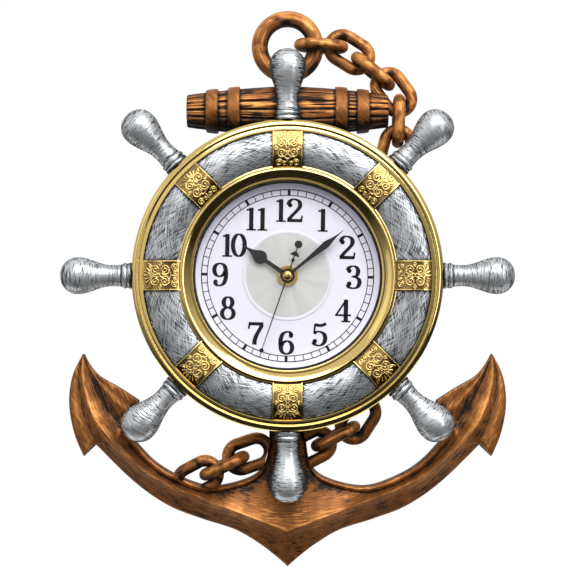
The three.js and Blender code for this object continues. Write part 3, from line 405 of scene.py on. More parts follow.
SPACING = 45
RIM_INNER, RIM_MIDDLE, RIM_OUTER, RIM_SHOULDER = 77.1, 89.6, 102.1, 39.2
CROWN_EDGE, CROWN_RISE, CROWN_HALF = 42.4, 2.9, 12.5
BAND_WIDTH, BAND_START, BAND_LENGTH, BAND_LIFT = 22, 74.9, 29.4, 0.75


def crown_depth(radius):
    return CROWN_EDGE + CROWN_RISE * (1 - ((radius - RIM_MIDDLE) / CROWN_HALF) ** 2)


def arc(centre, reach, first, last, count):
    """Points of a round edge about a (radius, depth) centre. Angle 0 is outwards, 90 to the front."""
    angles = [radians(mix(first, last, i / count)) for i in range(count + 1)]
    return [(centre[0] + reach * cos(a), centre[1] + reach * sin(a)) for a in angles]


def rounded(first, last, top, drop, count, rising=False, power=2):
    """Points (radius, depth) between two radii that fall from the depth top, or rise to it, by drop."""
    shares = [i / count for i in range(count + 1)]
    return [(mix(first, last, s), top - drop * (1 - s if rising else s) ** power) for s in shares]


def make_rim():
    radii = [mix(RIM_OUTER, RIM_INNER, i / 28) for i in range(29)]
    profile = [(RIM_INNER, 22), (83, 22), (83, 38), (95, 38), (95, 22), (109.3, 22), (109.7, 22.4)]
    profile += [(109.7, 38.8), (109.3, RIM_SHOULDER), (RIM_OUTER, RIM_SHOULDER)]
    profile += [(radius, crown_depth(radius)) for radius in radii]

    def strokes_and_shade(place):
        radius = hypot(place.x, place.z)
        angle = atan2(-place.z, place.x)
        nearest = (degrees(angle) + SPACING / 2) % SPACING - SPACING / 2
        aside = abs(radius * radians(nearest)) - BAND_WIDTH / 2
        edge = min(radius - RIM_INNER, RIM_OUTER - radius, aside)
        # The strokes run on over the outer edge and down the side.
        across = radius + max(0, RIM_SHOULDER + place.y)
        # Painted shadow: a dark line along the edges of the crown and beside the bands.
        return (RIM_MIDDLE * angle, across, 0), -0.6 - 1.3 * exp(-max(edge, 0) / 0.8)

    turned_piece("silver_rim", profile, 512, RIM_SILVER, ["rim"], formula=strokes_and_shade)


def make_trims():
    bead = rounded(110.6, 106.9, 44.2, 1.9, 12, True)[:-1] + rounded(106.9, 105.9, 44.2, 1.1, 6)
    land = rounded(105.7, 102.9, 43.4, 0.4, 8, True) + [(102.8, 43.38), (102.7, 42.0)]
    outer = [(102.4, 39.5), (110.6, 39.5)] + bead + land
    flange = [(78.4, 41.8)] + rounded(78.4, 76.9, 43.2, 0.5, 6, True)
    slope = rounded(76.7, 74.9, 44.1, 0.9, 8, True)[:-1] + rounded(74.9, 69.5, 44.1, 3.5, 18, power=1.3)
    lip = [(69.3, 40.65), (67.6, 40.5), (67.4, 40.4), (67.3, 40.25)]
    inner = [(74.4, 40.2), (74.4, 28.3), (76.8, 28.3), (76.8, 41.8)] + flange + slope + lip
    # Painted shade: brown in the seams between the mouldings.
    for name, profile, seams, width, wash in (
        ("outer_trim", outer, (105.8,), 0.2, 0.45),
        ("inner_bezel", inner, (76.8, 69.4), 0.22, 0.8),
    ):

        def shaded_hollows(place):
            radius = hypot(place.x, place.z)
            return (0, 0, 0), -wash * max(exp(-(((radius - seam) / width) ** 2)) for seam in seams)

        turned_piece("gold_" + name, profile, 384, GOLD, [name], formula=shaded_hollows)


SPOKE = [
    (111, 9.1), (112.2, 9.3), (113.3, 8.8), (114, 8.55), (114.8, 8.9), (115.8, 9.15), (116.9, 8.75),
    (117.7, 8.0), (118.4, 7.85), (119.4, 7.85), (120.4, 7.75), (121.5, 7.6), (124.5, 7.5), (128, 7.75),
    (132, 8.6), (136, 9.9), (140, 11.3), (144, 12.5), (147, 13.0), (149.5, 13.1), (152.5, 12.8),
    (155.5, 11.6), (158, 9.8), (160, 7.4), (161.4, 4.4), (162.1, 0),
]
SPOKE_DEPTH, SPOKE_WIDEST = 34.5, 13.1


def spoke_radius(height):
    """The half width of a spoke at a height above the hand axis, 0 beyond its ends."""
    for (low, first), (high, last) in zip(SPOKE, SPOKE[1:]):
        if low <= height <= high:
            return mix(first, last, (height - low) / (high - low))
    return 0


def spoke_shadow_share(x, height, reach=5.0):
    """Painted shadow of a spoke: 1 at the outline of a spoke or behind it, on the front, and 0 from reach
    away.
    """
    angle = round(degrees(atan2(x, height)) / SPACING) * SPACING
    side = x * cos(radians(angle)) - height * sin(radians(angle))
    up = x * sin(radians(angle)) + height * cos(radians(angle))
    past = max(up - 161, 0)
    gap = hypot(max(abs(side) - spoke_radius(min(up, 160)), 0), past)
    return max(0, 1 - gap / reach)


def make_spokes():
    whole = bmesh.new()
    profile = [(radius, height) for height, radius in smooth_line(SPOKE, 100)]
    turning(whole, [(0, 103), (3.5, 103), (3.5, 111), (8.6, 111)] + profile, 72, closed=False)
    grooves = [(111.0, 1.2), (114.0, 0.45), (117.9, 0.5)]

    def strokes_and_shade(place):
        height = -place.y
        dark = max(exp(-(((height - at) / width) ** 2)) for at, width in grooves)
        side = min(1, abs(place.x) / max(spoke_radius(height), 1))
        # Black stays in the collar grooves and the spoke darkens towards its tip; its sides, as seen from
        # the front, are darkened as painted shade.
        return (0, 0, 0), 0.2 - 1.2 * dark - 0.9 * side**6 - 0.6 * ease(height, 155, 162)

    mark(whole, strokes_and_shade)
    move(whole, placed((0, -SPOKE_DEPTH, 0), -pi / 2, "X"))
    for i in range(8):
        bm = whole.copy()
        grain, wear_and_shading = layers(bm)
        for vert in bm.verts:
            # The brush goes round each spoke, at another place of the pattern.
            vert[grain] = vert.co.xzy + Vector((0, 70 * i, 0))
            if i in (0, 4):
                # On the upright spokes the front is made lighter as painted highlight, and the sides darker
                # as painted shade, more so near their feet.
                aside, foot = abs(vert.co.x), 1 - ease(vert.co.z, 120, 132)
                vert[wear_and_shading] += 0.2 * (1 - ease(aside, 3, 7))
                vert[wear_and_shading] -= 1.5 * (aside / SPOKE_WIDEST) ** 4 + 0.5 * ease(aside, 6, 8) * foot
        move(bm, clockwise(SPACING * i))
        piece(f"turned_spoke_{i + 1}", bm, [SPOKE_SILVER], [f"spoke_{i + 1}"])
    whole.free()


# Gold bands: ornament drawn flat, in millimetres from the middle of the inner end.

def spiral(centre, first, last, start, turns, count=40):
    """A scroll line from its outer end to its eye."""
    points = []
    for i in range(count + 1):
        share = i / count
        reach = mix(first, last, share)
        angle = radians(start + 360 * turns * share)
        points.append((centre[0] + reach * cos(angle), centre[1] + reach * sin(angle)))
    return points


def band_ornament():
    """Lines of the right half and the middle as (points, half width, height)."""
    heart = 15.3
    stem = [(0.4, 0), (1.6, 1.8), (0.9, 3.6), (0.2, 5.2)]
    lines = []
    for side in (-1, 1):
        lobe = (4.1, heart + 3.4 * side)
        lines.append((spiral(lobe, 3.7, 0.5, 200 * side, -1.75 * side), 0.5, 0.62))
        lines.append((smooth_line([(x, heart + y * side) for x, y in stem], 24), 0.4, 0.5))
    lines += [
        (spiral((8.0, heart), 1.5, 0.4, 180, 1.2, 20), 0.4, 0.5),
        (smooth_line([(0, 7.6), (1.8, 8.2), (3.4, 9.4), (5.2, 9.0)], 24), 0.45, 0.5),
        (spiral((6.1, 5.0), 2.3, 0.4, 150, -1.6), 0.45, 0.58),
        (spiral((2.3, 4.4), 1.5, 0.3, 20, 1.4, 26), 0.4, 0.5),
        (smooth_line([(0, 6.6), (0.1, 5.0), (0, 3.2)], 12), 0.42, 0.5),
    ]
    for k in range(4):
        lean = radians(24 * k)
        root = (0.9 * k, 22.4 - 0.25 * k)
        tip = (root[0] + 4.4 * sin(lean), root[1] + 4.4 * cos(lean))
        waist = ((root[0] + tip[0]) / 2 + 0.35, (root[1] + tip[1]) / 2)
        lines.append((smooth_line([root, waist, tip], 14), 0.46, 0.5))
    brim = [(0, 21.2), (2.4, 21.6), (5.0, 20.8), (7.6, 22.2), (8.6, 24.0)]
    lines.append((smooth_line(brim, 30), 0.38, 0.45))
    return lines


def make_bands():
    dots = [(x, y, width, high) for points, width, high in band_ornament() for x, y in points]
    tree = kdtree.KDTree(len(dots))
    for i, (x, y, _, _) in enumerate(dots):
        tree.insert((x, y, 0), i)
    tree.balance()

    def relief(x, y):
        raised = 0
        for _, i, gap in tree.find_n((abs(x), y, 0), 8):
            width, high = dots[i][2:]
            raised = max(raised, high * max(0, 1 - (gap / (1.25 * width)) ** 2) ** 0.6)
        border = ease(abs(x), 9.5, 9.75) * (1 - ease(abs(x), 10.4, 10.7))
        ends = max(ease(y, 28.0, 28.3), 1 - ease(y, 0.9, 1.2))
        return max(raised, 0.55 * border, 0.3 * ends)

    whole = bmesh.new()

    def laid(u, v):
        x = BAND_WIDTH * (u - 0.5)
        y = BAND_LENGTH * v
        height = BAND_START + y
        depth = crown_depth(hypot(x, height)) + BAND_LIFT + relief(x, y)
        turned_in = 0 if min(u, 1 - u, v, 1 - v) > 0.001 else 1.6
        return Vector((x, turned_in - depth, height))

    sheet(whole, 120, 156, laid)

    # Painted shade: the low ground of the band and a line at the foot of the raised ornament are darker.
    def shaded_hollows(place):
        raised = -place.y - crown_depth(hypot(place.x, place.z)) - BAND_LIFT
        outline = ease(raised, 0.0, 0.06) * (1 - ease(raised, 0.12, 0.34))
        return (place.x, place.z, 0), -0.52 * (1 - ease(raised, 0.2, 0.4)) - 0.6 * outline

    mark(whole, shaded_hollows)
    for i in range(8):
        bm = whole.copy()
        move(bm, clockwise(SPACING * i))
        piece(f"gold_band_{i + 1}", bm, [GOLD], [f"band_{i + 1}"], sharp=60)
    whole.free()


make_rim()
make_trims()
make_spokes()
make_bands()


# Dial: card, printing, foil, lens

DIAL_FRONT = 29.1
DIAL_TURN = 1.05
PRINT_HEIGHT = 16.8


def make_dial():
    card = [(4.3, 28.3), (74.1, 28.3), (74.1, DIAL_FRONT), (66.6, DIAL_FRONT), (4.3, DIAL_FRONT)]
    turned_piece("dial_card", card, 256, DIAL_WHITE, ["dial"])
    bm = bmesh.new()
    turning(bm, [(68.8, DIAL_FRONT), (68.8, 37.9), (65.9, 37.9), (65.6, 37.6), (65.6, DIAL_FRONT)], 256)
    for face in bm.faces:
        face.material_index = int(-face.calc_center_median().y < 37)
    piece("dial_spacer", bm, [BLACK_ABS, DIAL_WHITE])
    lens = [(73.9, 38.2), (74.1, 38.4), (74.1, 40.0), (73.9, 40.2), (0, 40.2), (0, 38.2)]
    turned_piece("clear_lens", lens, 192, LENS, ["lens"])

    def rayed(place):
        reach = hypot(place.x, place.z)
        return (30 * place.x / reach, 30 * place.z / reach, 0.02 * reach), 0.0

    foil = [(7.6, DIAL_FRONT), (29.7, DIAL_FRONT), (29.7, 29.3), (7.6, 29.3)]
    turned_piece("dial_foil", foil, 192, FOIL, formula=rayed)
    crest = [(mix(30.1, 32.4, i / 8), 29.25 + 0.22 * sin(pi * i / 8)) for i in range(9)]
    ring = [(29.7, DIAL_FRONT), (29.9, 29.25)] + crest + [(32.6, DIAL_FRONT)]
    turned_piece("dial_ring", ring, 192, DIAL_RING)


# Numerals of a heavy text face, in hundredths of their height. Upright strokes are thick, level ones thin.
DIGIT_WIDTH = 68
THICK, THIN = 18.5, 6.8


def oval(middle, wide, tall, step):
    turns = [radians(a) for a in range(0, 361, step)]
    return [(DIGIT_WIDTH / 2 + wide * sin(a), middle + tall * cos(a)) for a in turns]


SIX = [
    (57, 82), (47, 95), (34, 97), (18, 88), (9.5, 66), (9, 40), (15, 13), (34, 3), (52, 11), (58.5, 31),
    (51, 51), (35, 58), (19, 50), (13, 38),
]
TWO = [(8, 72), (11, 86), (22, 96), (36, 97), (51, 90), (57, 75), (53, 61), (40, 45), (20, 24), (7, 6)]
FIVE = [(11, 54), (22, 61), (36, 62), (52, 53), (58.5, 33), (51, 12), (34, 3), (15, 7), (7.5, 19)]
NUMERALS = {
    "0": {"lines": [oval(50, 25, 46.5, 15)]},
    "1": {
        "width": 42,
        "lines": [[(22, 2), (22, 50), (22, 97)]],
        "hairs": [[(20, 91), (11, 88.5), (2, 87.5)]],
        "slabs": [(1, 0, 43, 6.5)],
    },
    "2": {
        "lines": [TWO],
        "slabs": [(3, 0, 63, 14)],
        "hairs": [[(63, 2), (64.5, 15), (66, 29)]],
        "balls": [(14.5, 72, 9.5)],
    },
    "3": {
        "lines": [
            [(8, 78), (12, 90), (27, 97), (43, 93), (51.5, 77), (47, 60), (36, 53.5), (24, 52.5)],
            [(24, 52.5), (40, 50.5), (54, 42), (58, 26), (49, 8), (30, 3), (13, 8), (7, 20)],
        ],
        "balls": [(14, 77, 9.5), (14, 22, 10)],
    },
    "4": {
        "hairs": [[(48, 97), (26, 63), (4, 30)]],
        "lines": [[(46, 2), (46, 50), (46, 96)]],
        "slabs": [(1, 26, 68, 34), (27, 0, 65, 6.5)],
    },
    "5": {
        "hairs": [[(14, 94), (12.5, 74), (11, 53)]],
        "lines": [FIVE],
        "flags": [[(13, 92.5), (28, 89), (44, 89.5), (61, 97)]],
        "balls": [(14, 21, 9.8)],
    },
    "6": {"lines": [SIX], "balls": [(52.5, 81, 9.5)]},
    "7": {
        "lines": [[(61, 86), (50, 66), (37, 42), (30, 20), (29, 2)]],
        "slabs": [(6, 84, 66, 98)],
        "hairs": [[(8, 98), (6, 84), (3.5, 69)]],
    },
    "8": {"lines": [oval(74.5, 18.5, 22.3, 20), oval(27.5, 24.5, 24.6, 20)]},
    "9": {"lines": [[(DIGIT_WIDTH - x, 100 - y) for x, y in SIX]], "balls": [(15.5, 19, 9.5)]},
}
PLACES = [
    ("12", 1.2, 46.8), ("1", 25.2, 39.9), ("2", 42.6, 20.2), ("3", 47.5, -1.1), ("4", 39.7, -24.9),
    ("5", 22.9, -42.1), ("6", -0.8, -48.1), ("7", -22.8, -41.3), ("8", -42.7, -23.2), ("9", -48.4, 0.9),
    ("10", -38.0, 21.9), ("11", -22.1, 40.7),
]


def ink_line(bm, line, width, put):
    """A flat stroke along a smooth line, as wide as width says for its direction."""
    count = max(16, 6 * len(line))

    def spread(u, v):
        here = along(line, u)
        ahead = (along(line, min(1, u + 0.004)) - along(line, max(0, u - 0.004))).normalized()
        half = width(abs(ahead.y)) / 2 * (2 * v - 1)
        return put(here.x - ahead.y * half, here.y + ahead.x * half)

    sheet(bm, count, 1, spread)


def make_printing():
    bm = bmesh.new()
    front = -(DIAL_FRONT + 0.12)
    size, tilt = PRINT_HEIGHT / 100, clockwise(DIAL_TURN)
    for text, x, height in PLACES:
        step = {"11": 6, "10": -5}.get(text, 4)
        widths = [NUMERALS[digit].get("width", DIGIT_WIDTH) for digit in text]
        left = -(sum(widths) + step * (len(text) - 1)) / 2
        for digit, wide in zip(text, widths):
            form = NUMERALS[digit]

            def put(px, py):
                return Vector((x, front, height)) + tilt @ Vector(((left + px) * size, 0, (py - 50) * size))

            for line in form.get("lines", []):
                ink_line(bm, line, lambda rise: THIN + (THICK - THIN) * rise ** 1.5, put)
            for line in form.get("hairs", []):
                ink_line(bm, line, lambda rise: 8.0, put)
            for line in form.get("flags", []):
                ink_line(bm, line, lambda rise: 13.0, put)
            for low_x, low_y, high_x, high_y in form.get("slabs", []):
                sheet(bm, 1, 1, lambda u, v: put(mix(low_x, high_x, u), mix(low_y, high_y, v)))
            for ball_x, ball_y, reach in form.get("balls", []):
                ball = bmesh.ops.create_circle(bm, cap_ends=True, segments=24, radius=reach)["verts"]
                for vert in ball:
                    vert.co = put(ball_x + vert.co.x, ball_y + vert.co.y)
            left += wide + step
    for inner, outer in ((57.2, 57.8), (61.3, 62.0)):
        sheet(bm, 240, 1, lambda u, v: clockwise(360 * u) @ Vector((0, front, mix(inner, outer, v))))
    for minute in range(60):
        half = 1.0 if minute % 5 == 0 else 0.28
        turned = clockwise(6 * minute + DIAL_TURN)
        sheet(bm, 1, 1, lambda u, v: turned @ Vector((half * (2 * u - 1), front, mix(57.5, 61.6, v))))
    bmesh.ops.remove_doubles(bm, verts=bm.verts, dist=0.0005)
    bmesh.ops.recalc_face_normals(bm, faces=bm.faces)
    bmesh.ops.solidify(bm, geom=bm.faces, thickness=0.1)
    piece("dial_numerals", bm, [DIAL_BLACK])


make_dial()
make_printing()


# Hands

def blade(bm, stations, back, front, turned, steps=90):
    """A flat hand cut from sheet: (reach, half width) stations from the tail to the tip."""

    def cut(u, v):
        reach, half = along(stations, u)
        return clockwise(turned) @ Vector((max(half, 0.05) * (2 * v - 1), -front, reach))

    faces = joined(sheet(bm, steps, 4, cut), "link_faces")
    bmesh.ops.recalc_face_normals(bm, faces=faces)
    bmesh.ops.solidify(bm, geom=faces, thickness=front - back)


def hub(bm, reach, back, front, bore=0.0):
    edge = 0.12
    rim = [(reach, back), (reach, front - edge), (reach - edge, front)]
    turning(bm, [(bore, back)] + rim + [(bore, front)], 48)


HOUR_AT, MINUTE_AT, SECOND_AT = 304.25, 51.0, 199.2
HOUR_SHEET, MINUTE_SHEET, SECOND_SHEET = (32.4, 33.0), (34.0, 34.6), (35.6, 36.2)


def make_hands():
    bm = bmesh.new()
    spade = [
        (0, 1.7), (6, 1.6), (12, 1.5), (16.5, 1.45), (18.6, 1.5), (19.4, 2.5), (20.4, 3.6), (21.8, 4.5),
        (23.6, 4.8), (25.4, 4.45), (27.4, 3.4), (29.6, 2.2), (32, 1.35), (35, 0.75), (38, 0.35), (40, 0.15),
    ]
    blade(bm, spade, *HOUR_SHEET, HOUR_AT)
    hub(bm, 5.2, *HOUR_SHEET, 3.2)
    piece("hour_spade", bm, [HAND_BLACK], ["hour_hand"], "hours")
    bm = bmesh.new()
    lance = [
        (0, 1.3), (5, 1.1), (10, 1.05), (16, 1.2), (22, 1.5), (28, 1.9), (33, 2.35), (35, 2.5), (37, 2.25),
        (40, 1.5), (43, 0.9), (46, 0.5), (49, 0.3), (51.6, 0.15),
    ]
    blade(bm, lance, *MINUTE_SHEET, MINUTE_AT)
    hub(bm, 4.6, *MINUTE_SHEET, 1.6)
    piece("minute_lance", bm, [HAND_BLACK], ["minute_hand"], "minutes")
    bm = bmesh.new()
    needle = [(-22, 0.42), (-10, 0.45), (0, 0.5), (20, 0.45), (40, 0.4), (57, 0.25)]
    wings = [(-18.4, 0.3), (-17.7, 1.2), (-16.9, 2.2), (-16.1, 2.9), (-15.2, 3.4), (-15.0, 2.6)]
    bead = [(-13.8, 0.3), (-12.8, 0.7), (-11.9, 1.2), (-11.4, 1.25), (-10.6, 0.6), (-9.8, 0.4)]
    for stations, steps in ((needle, 90), (wings, 24), (bead, 16)):
        blade(bm, stations, *SECOND_SHEET, SECOND_AT, steps)
    for reach, radius in ((-23.6, 2.75), (56.4, 1.6)):
        spot = clockwise(SECOND_AT) @ Vector((0, 0, reach))
        count = len(bm.verts)
        hub(bm, radius, *SECOND_SHEET)
        bm.verts.ensure_lookup_table()
        bmesh.ops.translate(bm, vec=spot, verts=bm.verts[count:])
    hub(bm, 3.4, 35.4, 36.2)
    piece("second_needle", bm, [HAND_BLACK], ["second_hand"], "seconds")
    dome = [(3.4 * cos(radians(a)), 36.2 + 1.6 * sin(radians(a))) for a in range(0, 91, 9)]
    turned_piece("second_cap", [(0, 36.0), (3.4, 36.0)] + dome, 48, BRASS, (), "seconds")
    nut = [(4.3, 29.4), (7.0, 29.4), (7.3, 29.7), (7.3, 31.2), (6.9, 31.7), (4.7, 31.7), (4.3, 31.3)]
    turned_piece("brass_nut", nut, 96, BRASS, ["fixing_nut"])


make_hands()


# Anchor: lines of the left half as (x, height), from the middle to the fluke

ARM_UPPER = [
    (-13.3, -90), (-13.6, -121), (-18, -138.5), (-31, -147.8), (-55, -152.6), (-76, -146.8), (-97, -134.4),
    (-117, -112.5),
]
ARM_CREST = [
    (-2, -183.2), (-9, -180.6), (-19, -176.8), (-36, -170.4), (-58, -162), (-80, -153.6), (-102, -142),
    (-124, -122.3),
]
ARM_LOWER = [
    (-2, -209.6), (-9, -203.6), (-20, -195.2), (-38, -184.6), (-62, -176.8), (-87, -167), (-112, -149.5),
    (-140.4, -121.8),
]
ARM_STEPS, NOTCH_STEPS, PALM_STEPS = 84, 16, 44
ARM_FOOT = 9.0
CREST_KNOT = 9
PALM_UPPER = [(-107.5, -90.8), (-122, -81.5), (-136.5, -73), (-143.5, -65), (-148, -57)]
PALM_FOLD = [(-124, -106), (-130.5, -97), (-138, -81), (-144, -68.5), (-148.3, -56.9)]
PALM_CREST = [(-136.5, -108), (-142, -98.5), (-146.6, -86), (-149.3, -71), (-148.8, -56.8)]
PALM_LOWER = [(-148.4, -131.8), (-155.5, -114.5), (-159.2, -93), (-156.8, -73), (-149.2, -57)]


def knot(place, depth, wear_and_shading):
    """A point of a section, with its wear_and_shading."""
    return Vector((place.x, depth, place.y, wear_and_shading))


def back_knots(upper, lower, back, pocket):
    """The rear of a section: a rim and a moulded recess."""
    across = (lower - upper).normalized()
    inset = min(3.0, (lower - upper).length / 4)
    high, low = upper + across * inset, lower - across * inset
    return [
        knot(lower, back, -0.2),
        knot(low, back, 0.2),
        knot(low - across * 0.3, back + pocket, 0.0),
        knot(high + across * 0.3, back + pocket, 0.0),
        knot(high, back, 0.2),
        knot(upper, back, -0.2),
    ]


def arm_section(upper, crest, lower, t):
    upper, crest, lower = Vector(upper), Vector(crest), Vector(lower)
    inward = (crest - upper).normalized()
    edge = mix(17.0, 13.5, min(1, 2 * t))
    top = mix(20.9, 19.0, t)
    foot = upper + inward * 5.0
    # Knots along each part of the face: a place on it, a lift and the wear_and_shading, which is dark in the
    # groove under the lip as wash and painted shade and light on the lip and the crest as painted highlight.
    rim = [(0, -1.8, -0.6), (0.6, -0.5, 0.0), (2.2, 0.3, 0.45), (3.8, -0.4, 0.1), (5.0, -1.9, -0.9)]
    rise = [(0.35, -0.9, -0.1), (0.7, -0.6, mix(0.1, 0.35, t)), (0.97, -0.08, mix(0.5, 0.8, t))]
    fall = [(0, 0, 1.1), (0.03, -0.05, 0.4), (0.3, -0.7, 0.0), (0.75, -0.5, -0.15), (1, 0, 0.0)]
    face = [knot(upper + inward * out, edge + lift, wear_and_shading) for out, lift, wear_and_shading in rim]
    face += [knot(foot.lerp(crest, s), mix(edge - 1.8, top, s) + lift, wear_and_shading) for s, lift, wear_and_shading in rise]
    face += [knot(crest.lerp(lower, s), mix(top, ARM_FOOT, s) + lift, wear_and_shading) for s, lift, wear_and_shading in fall]
    pocket = 6.5 * max(ease(t, 0.28, 0.33) - ease(t, 0.53, 0.58), ease(t, 0.6, 0.65) - ease(t, 0.9, 0.95))
    return [knot(upper, 1.0, -0.6)] + face + back_knots(upper, lower, 1.0, pocket)


def palm_section(t):
    upper, fold, crest, lower = (along(line, t) for line in (PALM_UPPER, PALM_FOLD, PALM_CREST, PALM_LOWER))
    inward = (fold - upper).normalized()
    back = mix(1.0, 3.0, t)
    edge, valley, top, foot = (
        mix(front, min(front, 9.0), t) for front in (11.0, 9.4, mix(18.0, 9.0, t), 8.0)
    )
    thin = 1 - 0.7 * t
    # The last number of each knot is its wear_and_shading: dark in the groove and the valley as wash and
    # painted shade, light on the rib and the crest as painted highlight.
    rim = [(0, -1.3, -0.3), (0.4, -0.2, 0.5), (1.2, 0, 0.5)]
    fan = [(0.3, -0.3, -0.1), (0.5, 0.5, 0.75), (0.68, -0.4, -0.2)]
    rise = [(0, -0.95), (0.75, 0.6)]
    fall = [(0, 0, 1.3), (0.06, -0.2, 0.4), (0.34, -1.7, -0.6), (0.6, 0.7, 0.7), (1, 0, 0.0)]
    face = [knot(upper + inward * out * thin, edge + lift * thin, wear_and_shading) for out, lift, wear_and_shading in rim]
    face += [knot(upper.lerp(fold, s), edge + lift * thin, wear_and_shading) for s, lift, wear_and_shading in fan]
    face += [knot(fold.lerp(crest, s), mix(valley, top, s), wear_and_shading) for s, wear_and_shading in rise]
    face += [knot(crest.lerp(lower, s), mix(top, foot, s) + lift * thin, wear_and_shading) for s, lift, wear_and_shading in fall]
    return [knot(upper, back, -0.6)] + face + back_knots(upper, lower, back, 0)


def make_anchor():
    middle = arm_section((0, -90), (0, -184.4), (0, -211.2), 0)
    arm = []
    for i in range(ARM_STEPS + 1):
        t = i / ARM_STEPS
        arm.append(arm_section(along(ARM_UPPER, t), along(ARM_CREST, t), along(ARM_LOWER, t), t))
    palm = [palm_section(i / PALM_STEPS) for i in range(PALM_STEPS + 1)]
    notch = []
    for i in range(1, NOTCH_STEPS):
        # The crest runs on while the outer edge turns round the notch, out to the barb.
        share = i / NOTCH_STEPS
        late = ease(share, 0.45, 1.0)
        outer = [mix(share, late, out) for out in (0.1, 0.35, 0.7, 1)]
        shares = [share] * (CREST_KNOT + 1) + outer + [late] * 3 + [share] * 3
        notch.append([a.lerp(b, w) for a, b, w in zip(arm[-1], palm[0], shares)])
    sections = [middle] + arm + notch + palm
    spans = len(middle) - 1
    fine = 5
    bm = bmesh.new()
    grain, wear_and_shading = layers(bm)
    made = sheet(bm, len(sections) - 1, spans * fine, lambda u, v: Vector((u, v, 0)))
    for vert in made:
        row = round(vert.co.x * (len(sections) - 1))
        column = round(vert.co.y * spans * fine)
        k = min(column // fine, spans - 1)
        spot = sections[row][k].lerp(sections[row][k + 1], column / fine - k)
        vert.co = (spot.x, -spot.y, spot.z)
        vert[wear_and_shading] = spot.w
        vert.select = column == CREST_KNOT * fine
    bmesh.ops.remove_doubles(bm, verts=bm.verts, dist=0.001)
    front = [v for v in bm.verts if not v.is_boundary and not v.select]
    for _ in range(3):
        bmesh.ops.smooth_vert(
            bm, verts=front, factor=0.5, use_axis_x=True, use_axis_y=True, use_axis_z=True
        )
    ends = [edge for edge in bm.edges if edge.is_boundary and all(v.co.x < -100 for v in edge.verts)]
    bmesh.ops.holes_fill(bm, edges=ends, sides=0)
    for vert in bm.verts:
        if abs(vert.co.x) < 0.01:
            vert.co.x = 0
    bmesh.ops.mirror(bm, geom=bm.verts[:] + bm.edges[:] + bm.faces[:], axis="X", merge_dist=0.01)
    for vert in bm.verts:
        # The wash was wiped round the bend of the arms, whose centre is near the lower rim.
        bend = Vector((vert.co.x, vert.co.z + 25))
        vert[grain] = (150 * atan2(bend.x, -bend.y), bend.length, -0.7 * vert.co.y)
        # Painted shadow of the spokes on the front of the anchor.
        if -vert.co.y > 7:
            vert[wear_and_shading] -= 0.9 * spoke_shadow_share(vert.co.x, vert.co.z, 3.5)
    shade_below(bm, 0.3)
    piece("copper_anchor", bm, [COPPER], ["anchor"], sharp=50)
    yoke = [(84, 12.6), (84.6, 12), (97.9, 12), (98.5, 12.6), (98.5, 21.7), (84, 21.7)]

    def wiped(place):
        return (91 * atan2(place.x, place.z), place.xz.length, place.y), 0.1

    turned_piece("anchor_yoke", yoke, 192, COPPER, formula=wiped)
    bm = bmesh.new()
    slab(bm, (-8.5, -18.1, 86.4), (8.5, -4, 149), 2.5)
    mark(bm, lambda place: (place.zxy, 0.1))
    piece("anchor_head", bm, [COPPER])


# Stock, ring and chain

STOCK_HEIGHT, STOCK_DEPTH, STOCK_HALF = 118.7, 18.5, 72.5
HOOPS, HOOP_HALF = (-54.3, -38.6, 38.6, 54.3), 4.3


def blot(place):
    """Stains of the wash: 1 inside a stain, 0 outside."""
    return ease(noise.noise(place), 0.1, 0.45)


def stock_radius(x):
    return mix(17.9, 11.7, (min(abs(x), STOCK_HALF) / STOCK_HALF) ** 1.6)


